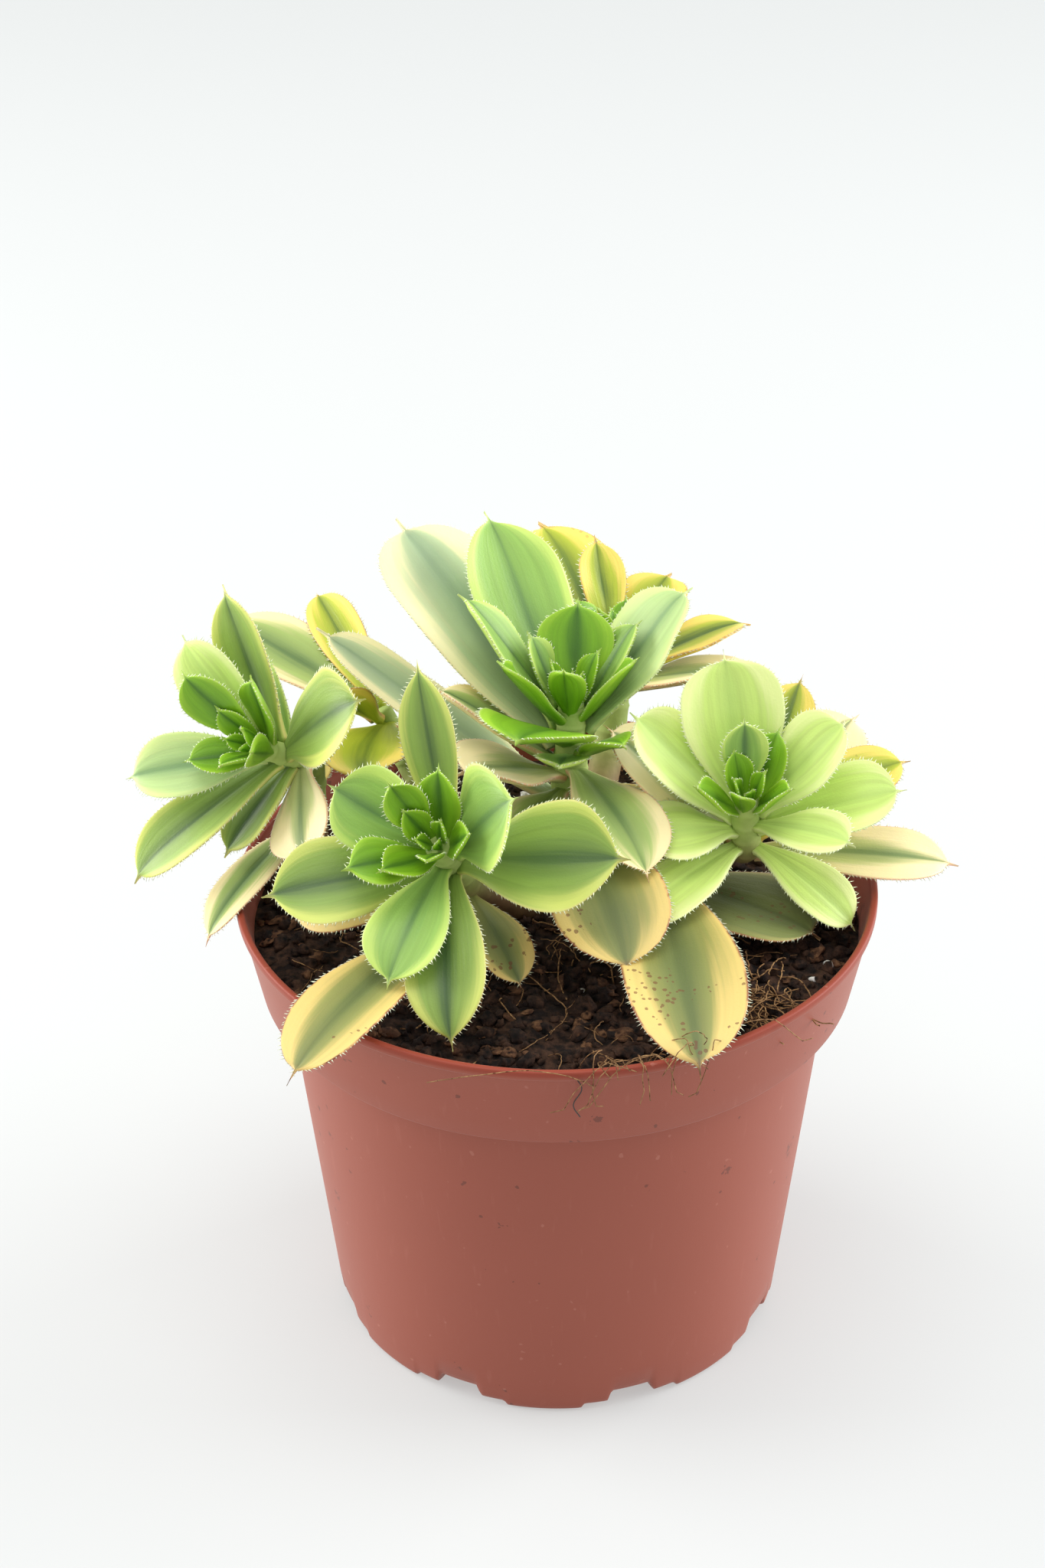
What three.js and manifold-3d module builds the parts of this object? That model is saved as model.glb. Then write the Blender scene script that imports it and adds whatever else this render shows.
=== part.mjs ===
// Potted succulent: rosettes of fleshy, pointed leaves on short branching stems,
// growing from soil in a round, tapered plastic nursery pot.
// Millimetres, +Z up. The middle of the pot's flat bottom is at the origin.
import * as THREE from 'three';
import { mergeVertices } from 'three/addons/utils/BufferGeometryUtils.js';
import Module from 'manifold-3d';

// ---- driving dimensions -------------------------------------------------
const GAP = 0.3; // air between neighbouring pieces that touch on the real plant

const POT_HEIGHT = 93;
const POT_RIM_RADIUS = 60;
const POT_COLLAR_HEIGHT = 18.4;
const POT_WALL = 1.2;
const POT_FLOOR = 1.6;
const POT_SIDES = 64;
const COLLAR_FOOT_RADIUS = POT_RIM_RADIUS * 0.936;
const BODY_TOP_RADIUS = POT_RIM_RADIUS * 0.86;
const BODY_FOOT_RADIUS = POT_RIM_RADIUS * 0.725;

const DRAIN_COUNT = 8;
const DRAIN_WIDTH = 8.5;
const DRAIN_HEIGHT = 2.4;
const DRAIN_FIRST = 19; // degrees round from the front

const SOIL_BELOW_RIM = POT_RIM_RADIUS * 0.1333;
const SOIL_TOP = POT_HEIGHT - SOIL_BELOW_RIM;

const PLANT_SCALE = POT_RIM_RADIUS / 60; // the plant is as broad as its pot

const LEAF_THICKNESS = 2.4;
const WIDEST_AT = 0.62; // share of a leaf's length at which it is widest
const FOOT_SHARE = 0.26; // width of a leaf's foot as a share of its full width
const LEAF_RINGS = 7;

const rad = THREE.MathUtils.degToRad;

// ---- shoots -------------------------------------------------------------
// The plant is laid out about the middle of the soil's top and then scaled to
// its pot. crown: where the rosette's heart sits. lean: compass turn and climb,
// in degrees, of the way the rosette faces. radius: of the stem under it.
// by: points that the stem passes on its way up from its root.
const HUB = [2, 2, 3.5];
const SHOOTS = {
  left: {
    crown: [-55, 2, 36], lean: [220, 33], radius: 2.4,
    by: [[-46, 14, GAP], [-46, 13, 17]],
  },
  front: {
    crown: [-21, -24, 31], lean: [250, 48], radius: 3,
    by: [HUB, [-9, -4, 6], [-16, -10, 13]],
  },
  centre: {
    crown: [3, 12, 39], lean: [80, 84], radius: 3.2,
    by: [HUB, [2.2, 9.3, 14]],
  },
  right: {
    crown: [35, -3, 27], lean: [268, 70], radius: 3,
    by: [HUB, [18, 5, 8.5], [31, 5, 13]],
  },
  back: {
    crown: [12, 43, 36], lean: [80, 75], radius: 3,
    by: [HUB, [7, 22, 6], [10, 36, 13]],
  },
  spur: {
    crown: [-33, 27, 29], lean: [150, 60], radius: 2.5,
    by: [HUB, [-10, 13, 7], [-20, 19, 12]],
  },
};
// places low on the stems where old leaves still hang
const FEET = {
  leftFoot: { crown: [-46, 13, 19], lean: [0, 90], radius: 2.4 },
  frontFoot: { crown: [-17, -11, 14], lean: [0, 90], radius: 3 },
  centreFoot: { crown: [2, 7, 18], lean: [0, 90], radius: 3.2 },
  rightFoot: { crown: [18, 5, 11], lean: [0, 90], radius: 3 },
};

// ---- leaves -------------------------------------------------------------
// name, shoot, mm down the stem from the heart, turn round the stem, rise
// above square to it, length, width, bend along the leaf, cup across it, roll.
// Angles are in degrees and lengths in millimetres.
const LEAVES = [
  ['leaf_left_1', 'left', 4, 96, 45, 23, 13, -10, 50, 0],
  ['leaf_left_2', 'left', 7, 75, 30, 29, 12, 0, 60, 0],
  ['leaf_left_3', 'left', 5, 172, 42, 25, 13, -15, 50, 0],
  ['leaf_left_4', 'left', 8, 202, 30, 34, 13, -15, 50, 0],
  ['leaf_left_5', 'left', 11, 218, 20, 19, 11, -5, 60, 0],
  ['leaf_left_6', 'left', 12.4, 264, 12, 18, 15, -5, 40, 0],
  ['leaf_left_7', 'left', 7, 351, 25, 26, 18, -10, 40, 0],
  ['leaf_front_1', 'front', 9, 90, 25, 32, 10.5, 0, 60, 0],
  ['leaf_front_2', 'front', 5, 145, 35, 20, 16, 0, 40, 0],
  ['leaf_front_3', 'front', 3, 195, 45, 15, 10, -10, 40, 0],
  ['leaf_front_4', 'front', 9, 187, 20, 30, 17, -10, 40, 0],
  ['leaf_front_5', 'front', 4, 8, 50, 20, 20, 0, 40, 0],
  ['leaf_front_6', 'front', 9, 348, 20, 31, 21, -15, 40, 0],
  ['leaf_front_7', 'front', 7, 246, 34, 24, 15, -32, 40, 0],
  ['leaf_front_8', 'front', 10, 268, 29, 33, 15, -36, 40, 0],
  ['leaf_centre_1', 'centre', 9, 137, 42, 52, 29, -10, 20, 0],
  ['leaf_centre_2', 'centre', 6, 119, 50, 43, 21, -5, 40, 0],
  ['leaf_centre_3', 'centre', 3, 165, 52, 27, 11, 0, 60, 0],
  ['leaf_centre_4', 'centre', 2, 85, 66, 18, 15, 0, 50, 0],
  ['leaf_centre_5', 'centre', 6, 27, 52, 31, 20, 0, 40, 0],
  ['leaf_centre_6', 'centre', 12, 178, 34, 25, 12, 0, 60, 0],
  ['leaf_centre_7', 'centre', 6, 245, 32, 21, 23, -20, 40, 0],
  ['leaf_centre_8', 'centre', 14, 210, 20, 20, 21, -8, 40, 0],
  ['leaf_centre_9', 'centre', 17, 236, -2, 17, 13, -20, 40, 0],
  ['leaf_centre_10', 'centre', 13, 296, 1, 30, 17, -30, 40, 0],
  ['leaf_centre_11', 'centre', 20, 163, 29, 53, 18, 4, 30, 0],
  ['leaf_right_1', 'right', 5, 100, 48, 27, 20, 0, 50, 0],
  ['leaf_right_2', 'right', 7, 150, 41, 26, 15, 0, 50, 0],
  ['leaf_right_3', 'right', 12, 153, 35, 30, 13, 0, 50, 0],
  ['leaf_right_4', 'right', 8, 199, 28, 18, 14, -20, 30, 0],
  ['leaf_right_5', 'right', 5, 30, 41, 22, 15, 0, 60, 0],
  ['leaf_right_6', 'right', 8, 4, 22, 26, 16, -10, 50, 0],
  ['leaf_right_7', 'right', 6, 329, 30, 19, 11, -15, 40, 0],
  ['leaf_right_8', 'right', 12, 322, 0, 23, 11, -30, 40, 0],
  ['leaf_right_9', 'right', 12, 227, 20, 29, 13, -16, 40, 0],
  ['leaf_right_10', 'right', 15.5, 357, 5, 36, 13, -15, 40, 0],
  ['leaf_right_11', 'right', 11, 22, 20, 30, 13, -10, 40, 0],
  ['leaf_right_12', 'right', 13, 48, 20, 30, 16, -10, 40, 0],
  ['leaf_back_1', 'back', 6, 122, 45, 33, 22, -5, 40, 0],
  ['leaf_back_2', 'back', 4, 53, 46, 18, 16, 0, 40, 0],
  ['leaf_back_3', 'back', 8, 24, 25, 26, 14, -10, 40, 0],
  ['leaf_back_4', 'back', 10, 358, 15, 25, 18, -10, 40, 0],
  ['leaf_back_5', 'back', 12, 90, 15, 32, 18, -15, 40, 0],
  ['leaf_back_6', 'back', 11, 165, 20, 30, 17, -10, 40, 0],
  ['leaf_spur_1', 'spur', 1, 143, 50, 38, 17, -12, 40, 0],
  ['leaf_spur_2', 'spur', 3, 259, 8, 20, 18, -28, 30, -25],
  ['leaf_low_1', 'leftFoot', 6, 235, 0, 32, 9, -30, 40, 0],
  ['leaf_low_2', 'frontFoot', 7, 240, 12.8, 55, 16, -20, 30, 0],
  ['leaf_low_3', 'centreFoot', 1, 284, 12, 42, 22, -36, 30, 0],
  ['leaf_low_4', 'rightFoot', 6.3, 328, 6, 32, 22, -10, 25, 0],
  ['leaf_low_5', 'rightFoot', 4, 276, 14, 62, 22, -24, 30, 0],
];

// ---- hearts -------------------------------------------------------------
// shoot, turn of the first young leaf, length of the longest young leaf
const HEARTS = [
  ['left', 40, 10],
  ['front', 75, 11],
  ['centre', 30, 12],
  ['right', 60, 11],
  ['back', 20, 10],
];
const YOUNG_LEAVES = 6;
const YOUNG_TURN = 137.5; // degrees from one young leaf to the next

// ---- colours ------------------------------------------------------------
const finish = (color, roughness) => new THREE.MeshStandardMaterial({ color, roughness, metalness: 0 });
const PLASTIC = finish('#a05a4c', 0.6);
const EARTH = finish('#35241b', 0.95);
const BARK = finish('#8a7a5a', 0.8);
const LEAF = finish('#8fb45a', 0.5);
const OLD_LEAF = finish('#c7b25a', 0.55);
const HEART = finish('#7db653', 0.5);

// ---- solids -------------------------------------------------------------
const wasm = await Module();
wasm.setup();

// A three.js geometry as a watertight manifold solid.
function toSolid(geometry) {
  const bare = geometry.clone();
  bare.deleteAttribute('normal');
  bare.deleteAttribute('uv');
  const welded = mergeVertices(bare.index ? bare.toNonIndexed() : bare, 1e-4);
  const vertProperties = new Float32Array(welded.attributes.position.array);
  const triVerts = new Uint32Array(welded.index.array);
  return new wasm.Manifold(new wasm.Mesh({ numProp: 3, vertProperties, triVerts }));
}

// A manifold solid back as a three.js geometry.
function toGeometry(solid) {
  const mesh = solid.getMesh();
  const geometry = new THREE.BufferGeometry();
  geometry.setAttribute('position', new THREE.BufferAttribute(new Float32Array(mesh.vertProperties), 3));
  geometry.setIndex(new THREE.BufferAttribute(new Uint32Array(mesh.triVerts), 1));
  geometry.computeVertexNormals();
  return geometry;
}

// A profile of [radius, height] points spun round the Z axis.
function spin(profile, sides) {
  const points = profile.map(([r, z]) => new THREE.Vector2(r, z));
  return new THREE.LatheGeometry(points, sides).rotateX(Math.PI / 2);
}

// ---- pot and soil -------------------------------------------------------
const collarFoot = POT_HEIGHT - POT_COLLAR_HEIGHT;

// Inside radius of the body at a height below the collar.
function insideRadius(z) {
  const share = z / collarFoot;
  return BODY_FOOT_RADIUS + (BODY_TOP_RADIUS - BODY_FOOT_RADIUS) * share - POT_WALL;
}

function potSolid() {
  const outline = [
    [0, 0],
    [BODY_FOOT_RADIUS - 1.4, 0],
    [BODY_FOOT_RADIUS - 0.4, 0.4],
    [BODY_FOOT_RADIUS, 1.4],
    [BODY_TOP_RADIUS, collarFoot],
    [COLLAR_FOOT_RADIUS, collarFoot],
    [POT_RIM_RADIUS - 0.4, POT_HEIGHT - 1.6],
    [POT_RIM_RADIUS, POT_HEIGHT - 1],
    [POT_RIM_RADIUS - 0.3, POT_HEIGHT],
    [POT_RIM_RADIUS - POT_WALL, POT_HEIGHT],
    [COLLAR_FOOT_RADIUS - POT_WALL, collarFoot + POT_WALL],
    [insideRadius(collarFoot), collarFoot + POT_WALL],
    [insideRadius(POT_FLOOR), POT_FLOOR],
    [0, POT_FLOOR],
  ];
  let pot = toSolid(spin(outline, POT_SIDES));
  for (let i = 0; i < DRAIN_COUNT; i += 1) {
    const turn = rad(DRAIN_FIRST - 90 + (i * 360) / DRAIN_COUNT);
    const shallow = new THREE.BoxGeometry(12, DRAIN_WIDTH * 2.3, 2).translate(BODY_FOOT_RADIUS + 2, 0, 0);
    const slot = new THREE.BoxGeometry(16, DRAIN_WIDTH, DRAIN_HEIGHT * 2).translate(BODY_FOOT_RADIUS, 0, 0);
    pot = pot.subtract(toSolid(shallow.rotateZ(turn)));
    pot = pot.subtract(toSolid(slot.rotateZ(turn)));
  }
  return pot;
}

function soilGeometry() {
  const above = collarFoot + POT_WALL + GAP;
  const rimInside = COLLAR_FOOT_RADIUS - POT_WALL - GAP;
  const flare = (POT_RIM_RADIUS - COLLAR_FOOT_RADIUS) / POT_COLLAR_HEIGHT;
  return spin([
    [0, DRAIN_HEIGHT + GAP],
    [insideRadius(DRAIN_HEIGHT) - GAP, DRAIN_HEIGHT + GAP],
    [insideRadius(above) - GAP * 2, above],
    [rimInside, above],
    [rimInside + flare * (SOIL_TOP - above) - GAP, SOIL_TOP],
    [0, SOIL_TOP],
  ], 40);
}

// ---- shoots and leaves --------------------------------------------------
// Where a shoot's crown is, which way it faces, and two directions square to it.
function shootFrame({ crown, lean }) {
  const [turn, climb] = lean.map(rad);
  const up = new THREE.Vector3(
    Math.cos(climb) * Math.cos(turn),
    Math.cos(climb) * Math.sin(turn),
    Math.sin(climb),
  );
  const tilt = new THREE.Quaternion().setFromUnitVectors(new THREE.Vector3(0, 0, 1), up);
  const across = new THREE.Vector3(1, 0, 0).applyQuaternion(tilt);
  const along = new THREE.Vector3(0, 1, 0).applyQuaternion(tilt);
  return { crown: new THREE.Vector3(...crown), up, across, along };
}

// Half the width at a share u of the length, as a share of half the full width.
function leafProfile(u) {
  if (u < WIDEST_AT) {
    return FOOT_SHARE + (1 - FOOT_SHARE) * Math.sin((u / WIDEST_AT) * (Math.PI / 2)) ** 1.25;
  }
  return (1 - ((u - WIDEST_AT) / (1 - WIDEST_AT)) ** 2.4) ** 0.74;
}

// One leaf as a closed skin. Each ring has five points over the upper face,
// edge to edge, and three back under it. The last ring is the leaf's tip.
function leafGeometry(frame, leaf) {
  const { start, out, length, width, rise, bend, cup, roll } = leaf;
  const points = [];
  const centre = start.clone();
  const fine = 24;
  let walked = 0;
  for (let ring = 0; ring <= LEAF_RINGS; ring += 1) {
    const u = ring / LEAF_RINGS;
    while (walked < Math.round(u * fine)) {
      const slope = rise + (bend * (walked + 0.5)) / fine;
      centre.addScaledVector(out, (Math.cos(slope) * length) / fine);
      centre.addScaledVector(frame.up, (Math.sin(slope) * length) / fine);
      walked += 1;
    }
    const slope = rise + bend * u;
    const tangent = out.clone().multiplyScalar(Math.cos(slope)).addScaledVector(frame.up, Math.sin(slope));
    const normal = out.clone().multiplyScalar(-Math.sin(slope)).addScaledVector(frame.up, Math.cos(slope));
    const side = new THREE.Vector3().crossVectors(tangent, normal);
    normal.applyAxisAngle(tangent, roll);
    side.applyAxisAngle(tangent, roll);
    if (ring === LEAF_RINGS) {
      points.push(centre.clone());
      break;
    }
    const half = (leafProfile(u) * width) / 2;
    const thick = leaf.thickness * (1 - 0.5 * u);
    for (const [v, face] of [[-1, 0], [-0.5, 1], [0, 1], [0.5, 1], [1, 0], [0.5, -1], [0, -1], [-0.5, -1]]) {
      const turn = (v * cup) / 2;
      const sideways = (Math.sin(turn) / (cup / 2)) * half;
      const lift = ((1 - Math.cos(turn)) / (cup / 2)) * half + (face * thick * (1 - v * v)) / 2;
      points.push(centre.clone().addScaledVector(side, sideways).addScaledVector(normal, lift));
    }
  }
  const index = [];
  for (let ring = 0; ring < LEAF_RINGS; ring += 1) {
    for (let k = 0; k < 8; k += 1) {
      const a = ring * 8 + k;
      const b = ring * 8 + ((k + 1) % 8);
      if (ring === LEAF_RINGS - 1) {
        index.push(a, b, LEAF_RINGS * 8);
      } else {
        index.push(a, b, b + 8, a, b + 8, a + 8);
      }
    }
  }
  for (let k = 1; k < 7; k += 1) {
    index.push(0, k + 1, k);
  }
  const geometry = new THREE.BufferGeometry();
  geometry.setAttribute('position', new THREE.Float32BufferAttribute(points.flatMap((p) => p.toArray()), 3));
  geometry.setIndex(index);
  geometry.computeVertexNormals();
  return geometry;
}

// A grown leaf, its foot GAP off the bark of its stem.
function grownLeaf(row) {
  const [, shootName, down, turn, rise, length, width, bend, cup, roll] = row;
  const shoot = SHOOTS[shootName] ?? FEET[shootName];
  const frame = shootFrame(shoot);
  const out = frame.across.clone().multiplyScalar(Math.cos(rad(turn)));
  out.addScaledVector(frame.along, Math.sin(rad(turn)));
  const clear = shoot.radius + GAP + (LEAF_THICKNESS / 2) * Math.sin(rad(Math.max(rise, 0)));
  const start = frame.crown.clone().addScaledVector(frame.up, -down).addScaledVector(out, clear);
  return leafGeometry(frame, {
    start, out, length, width, thickness: LEAF_THICKNESS,
    rise: rad(rise), bend: rad(bend), cup: rad(cup), roll: rad(roll),
  });
}

// The young leaves of a rosette's heart, grown together on a small cone.
function heartSolid([shootName, firstTurn, size]) {
  const shoot = SHOOTS[shootName];
  const frame = shootFrame(shoot);
  const tilt = new THREE.Quaternion().setFromUnitVectors(new THREE.Vector3(0, 0, 1), frame.up);
  const cone = spin([[0, GAP], [shoot.radius * 0.7, GAP], [shoot.radius * 0.5, 2.5], [0, 3.2]], 8);
  cone.applyQuaternion(tilt).translate(...frame.crown.toArray());
  let heart = toSolid(cone);
  for (let i = 0; i < YOUNG_LEAVES; i += 1) {
    const share = i / (YOUNG_LEAVES - 1);
    const turn = rad(firstTurn + YOUNG_TURN * i);
    const out = frame.across.clone().multiplyScalar(Math.cos(turn));
    out.addScaledVector(frame.along, Math.sin(turn));
    const start = frame.crown.clone().addScaledVector(frame.up, 1.4 + share).addScaledVector(out, 0.7);
    const length = size * (1 - 0.55 * share);
    heart = heart.add(toSolid(leafGeometry(frame, {
      start, out, length, width: length * 0.55, thickness: 1.5,
      rise: rad(62 + 20 * share), bend: 0, cup: rad(70), roll: 0,
    })));
  }
  return heart;
}

// A stem as a tube: its root, the points it passes, and a straight end under the crown.
function stemSolid(shootName) {
  const { by, radius } = SHOOTS[shootName];
  const frame = shootFrame(SHOOTS[shootName]);
  const route = by.map((p) => new THREE.Vector3(...p));
  for (const down of [14, 7, 0]) {
    route.push(frame.crown.clone().addScaledVector(frame.up, -down));
  }
  const circle = new THREE.Shape(Array.from({ length: 8 }, (_, i) => {
    const turn = (i / 8) * 2 * Math.PI;
    return new THREE.Vector2(radius * Math.cos(turn), radius * Math.sin(turn));
  }));
  const extrudePath = new THREE.CatmullRomCurve3(route, false, 'centripetal');
  return toSolid(new THREE.ExtrudeGeometry(circle, { steps: 14, extrudePath, bevelEnabled: false }));
}

// The joined foot from which every stem but the left one branches.
function mainStemSolid() {
  const mound = spin([[0, GAP], [9, GAP], [7.5, 4 + GAP], [4, 7.5 + GAP], [0, 8.5 + GAP]], 12);
  let stem = toSolid(mound.translate(HUB[0], HUB[1], 0));
  for (const name of ['front', 'centre', 'right', 'back', 'spur']) {
    stem = stem.add(stemSolid(name));
  }
  return stem;
}

// ---- the whole plant ----------------------------------------------------
const plant = new THREE.Group();
plant.name = 'potted_succulent';

function place(name, geometry, material) {
  const mesh = new THREE.Mesh(geometry, material);
  mesh.name = name;
  plant.add(mesh);
}

// Scales a piece of the plant to its pot and sets it on the soil.
function grow(name, geometry, material) {
  place(name, geometry.scale(PLANT_SCALE, PLANT_SCALE, PLANT_SCALE).translate(0, 0, SOIL_TOP), material);
}

place('pot', toGeometry(potSolid()), PLASTIC);
place('soil', soilGeometry(), EARTH);
grow('stem_main', toGeometry(mainStemSolid()), BARK);
grow('stem_left', toGeometry(stemSolid('left')), BARK);
for (const heart of HEARTS) {
  grow(`heart_${heart[0]}`, toGeometry(heartSolid(heart)), HEART);
}
for (const row of LEAVES) {
  const old = row[0].startsWith('leaf_low') || row[0].startsWith('leaf_spur');
  grow(row[0], grownLeaf(row), old ? OLD_LEAF : LEAF);
}

export default plant;
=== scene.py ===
# %% [markdown]
# # A potted succulent
# This lesson builds a small houseplant: five rosettes of thick, pointed leaves
# on short stems, growing from dark soil in a tapered plastic pot. All shapes
# are worked out in millimetres and put into the mesh in metres.

# %% Load the frame
import math
import bpy
import numpy as np
from mathutils import Matrix, Vector


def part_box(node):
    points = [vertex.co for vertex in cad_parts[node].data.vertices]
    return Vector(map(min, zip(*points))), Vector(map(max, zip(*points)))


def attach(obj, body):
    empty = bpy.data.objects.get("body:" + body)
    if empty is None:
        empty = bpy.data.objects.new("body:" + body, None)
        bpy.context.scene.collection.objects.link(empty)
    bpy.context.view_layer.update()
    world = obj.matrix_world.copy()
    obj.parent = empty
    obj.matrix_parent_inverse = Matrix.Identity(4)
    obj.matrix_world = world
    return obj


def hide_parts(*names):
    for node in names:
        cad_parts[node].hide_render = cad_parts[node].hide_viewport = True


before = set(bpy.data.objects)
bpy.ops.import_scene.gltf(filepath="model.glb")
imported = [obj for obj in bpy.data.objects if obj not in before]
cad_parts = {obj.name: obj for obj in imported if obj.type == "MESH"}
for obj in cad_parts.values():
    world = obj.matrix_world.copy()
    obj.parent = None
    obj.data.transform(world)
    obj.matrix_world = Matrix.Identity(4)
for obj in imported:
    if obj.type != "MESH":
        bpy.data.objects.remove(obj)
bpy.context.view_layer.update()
MM = 0.001  # metres in a millimetre
print("nodes:", len(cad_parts))

# %% [markdown]
# ## Meshes from grids
# Most natural surfaces can be written as a function of two parameters, such
# as how far along a leaf and how far round it. Numpy works out the whole grid
# of points at once, and the two helpers below turn it into faces. That is
# quicker and easier to change than moving vertices by hand.

# %% From points to an object
def make_piece(name, points, faces, finish, replaced=(), smooth=True):
    """One mesh object from points in millimetres and lists of face corners."""
    mesh = bpy.data.meshes.new(name)
    mesh.from_pydata((np.asarray(points) * MM).tolist(), [], faces)
    mesh.polygons.foreach_set("use_smooth", np.full(len(mesh.polygons), smooth))
    mesh.materials.append(finish)
    mesh.update()
    piece = bpy.data.objects.new(name, mesh)
    bpy.context.collection.objects.link(piece)
    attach(piece, "root")
    if replaced:
        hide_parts(*replaced)
    return piece


def ring_faces(rows, cols, first=0):
    """Quads between neighbouring rings of a grid whose columns close on themselves.

    Point (r, c) of the grid has the number first + r * cols + c, and the
    column after the last is the first again.
    """
    r, c = np.meshgrid(np.arange(rows - 1), np.arange(cols), indexing="ij")
    a = first + r * cols + c
    b = first + r * cols + (c + 1) % cols
    return np.stack([a, b, b + cols, a + cols], -1).reshape(-1, 4)


def cap_faces(ring_start, cols, pole, flip):
    """Triangles from each side of one ring to a single pole point, turned the other way by flip."""
    a = ring_start + np.arange(cols)
    b = ring_start + (np.arange(cols) + 1) % cols
    p = np.full(cols, pole)
    return np.stack([b, a, p] if flip else [a, b, p], -1)


def set_uv(piece, across, along):
    """A UV map named leaf_uv from one value pair for each vertex."""
    mesh = piece.data
    corner = np.empty(len(mesh.loops), dtype=np.int32)
    mesh.loops.foreach_get("vertex_index", corner)
    layer = mesh.uv_layers.new(name="leaf_uv")
    layer.data.foreach_set("uv", np.stack([across[corner], along[corner]], -1).ravel())


def set_value(piece, name, values):
    """A plain number for each vertex, which a material can read."""
    layer = piece.data.attributes.new(name, "FLOAT", "POINT")
    layer.data.foreach_set("value", np.asarray(values, dtype=np.float32))


# %% [markdown]
# ## Finishes
# A finish is a small graph of shader nodes. The helpers below keep each graph
# short: they add a node, set its sockets by name, and join it to others.
# Effects that several finishes share, such as specks and the leaf zones, are
# node groups, built once.

# %% Node helpers
def add(tree, kind, inputs=None, **settings):
    """Adds a node, sets its properties, and sets or links its inputs."""
    node = tree.nodes.new("ShaderNode" + kind)
    for key, value in settings.items():
        setattr(node, key, value)
    for key, value in (inputs or {}).items():
        if isinstance(value, bpy.types.NodeSocket):
            tree.links.new(value, node.inputs[key])
        else:
            node.inputs[key].default_value = value
    return node


def maths(tree, operation, a, b=0.0, clamp=False):
    """A Math node's result."""
    return add(tree, "Math", {0: a, 1: b}, operation=operation, use_clamp=clamp).outputs[0]


def blend(tree, share, low, high, mode="MIX"):
    """Two colours mixed by a share from 0 to 1."""
    node = add(tree, "Mix", data_type="RGBA", blend_type=mode)
    for socket, value in ((node.inputs[0], share), (node.inputs[6], low), (node.inputs[7], high)):
        if isinstance(value, bpy.types.NodeSocket):
            tree.links.new(value, socket)
        else:
            socket.default_value = value
    return node.outputs[2]


def step(tree, value, low, high):
    """0 below low, 1 above high, and a smooth slope between."""
    node = add(tree, "MapRange", {0: value, 1: low, 2: high}, interpolation_type="SMOOTHSTEP")
    return node.outputs[0]


def colour(red, green, blue):
    """An everyday 0 to 255 colour as the linear values that the shader wants."""
    share = np.array([red, green, blue]) / 255.0
    linear = np.where(share < 0.04045, share / 12.92, ((share + 0.055) / 1.055) ** 2.4)
    return (*linear.tolist(), 1.0)


def new_finish(name, roughness, **sockets):
    """An empty material with a Principled shader, and its tree."""
    finish = bpy.data.materials.new(name)
    finish.use_nodes = True
    shader = finish.node_tree.nodes["Principled BSDF"]
    shader.inputs["Roughness"].default_value = roughness
    for key, value in sockets.items():
        shader.inputs[key.replace("_", " ")].default_value = value
    return finish, finish.node_tree, shader


def new_group(name, inputs, outputs):
    """A shader node group with named number inputs and outputs."""
    group = bpy.data.node_groups.new(name, "ShaderNodeTree")
    for key, value in inputs.items():
        socket = group.interface.new_socket(key, in_out="INPUT", socket_type="NodeSocketFloat")
        socket.default_value = value
    for key in outputs:
        group.interface.new_socket(key, in_out="OUTPUT", socket_type="NodeSocketFloat")
    return group, group.nodes.new("NodeGroupInput"), group.nodes.new("NodeGroupOutput")


def use(tree, group, **inputs):
    """Places a node group and sets or links its inputs."""
    node = tree.nodes.new("ShaderNodeGroup")
    node.node_tree = group
    for key, value in inputs.items():
        socket = node.inputs[key.replace("_", " ")]
        if isinstance(value, bpy.types.NodeSocket):
            tree.links.new(value, socket)
        else:
            socket.default_value = value
    return node


# %% [markdown]
# Specks are the dirt on the pot and the brown flecks on old leaves. A Voronoi
# texture gives each cell a distance from its centre, so a small distance is a
# dot. A broad noise thins the dots out into uneven clusters.

# %% The speck group
SPECKS, source, result = new_group("specks", {"Scale": 200.0, "Size": 0.2, "Amount": 0.5}, ["Mask"])
place = add(SPECKS, "TexCoord").outputs["Object"]
wobble = add(SPECKS, "TexNoise", {"Vector": place, "Scale": 900.0, "Detail": 2.0}).outputs["Fac"]
cells = add(SPECKS, "TexVoronoi", {"Vector": place, "Scale": source.outputs["Scale"]}).outputs["Distance"]
ragged = maths(SPECKS, "ADD", cells, maths(SPECKS, "MULTIPLY", maths(SPECKS, "SUBTRACT", wobble, 0.5), 0.5))
dots = maths(SPECKS, "LESS_THAN", ragged, source.outputs["Size"])
patch = add(SPECKS, "TexNoise", {"Vector": place, "Scale": 55.0, "Detail": 3.0}).outputs["Fac"]
there = maths(SPECKS, "LESS_THAN", patch, source.outputs["Amount"])
SPECKS.links.new(maths(SPECKS, "MULTIPLY", dots, there), result.inputs["Mask"])
print("group:", SPECKS.name)

# %% [markdown]
# The variegation of a leaf runs along it: a dark stripe in the middle, bright
# green beside it and a pale margin. The group below reads the leaf's own UV
# map, in which U goes across the blade and V along it. Long thin noise makes
# the borders between the bands run in fine streaks, as they do in real tissue.

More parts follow.
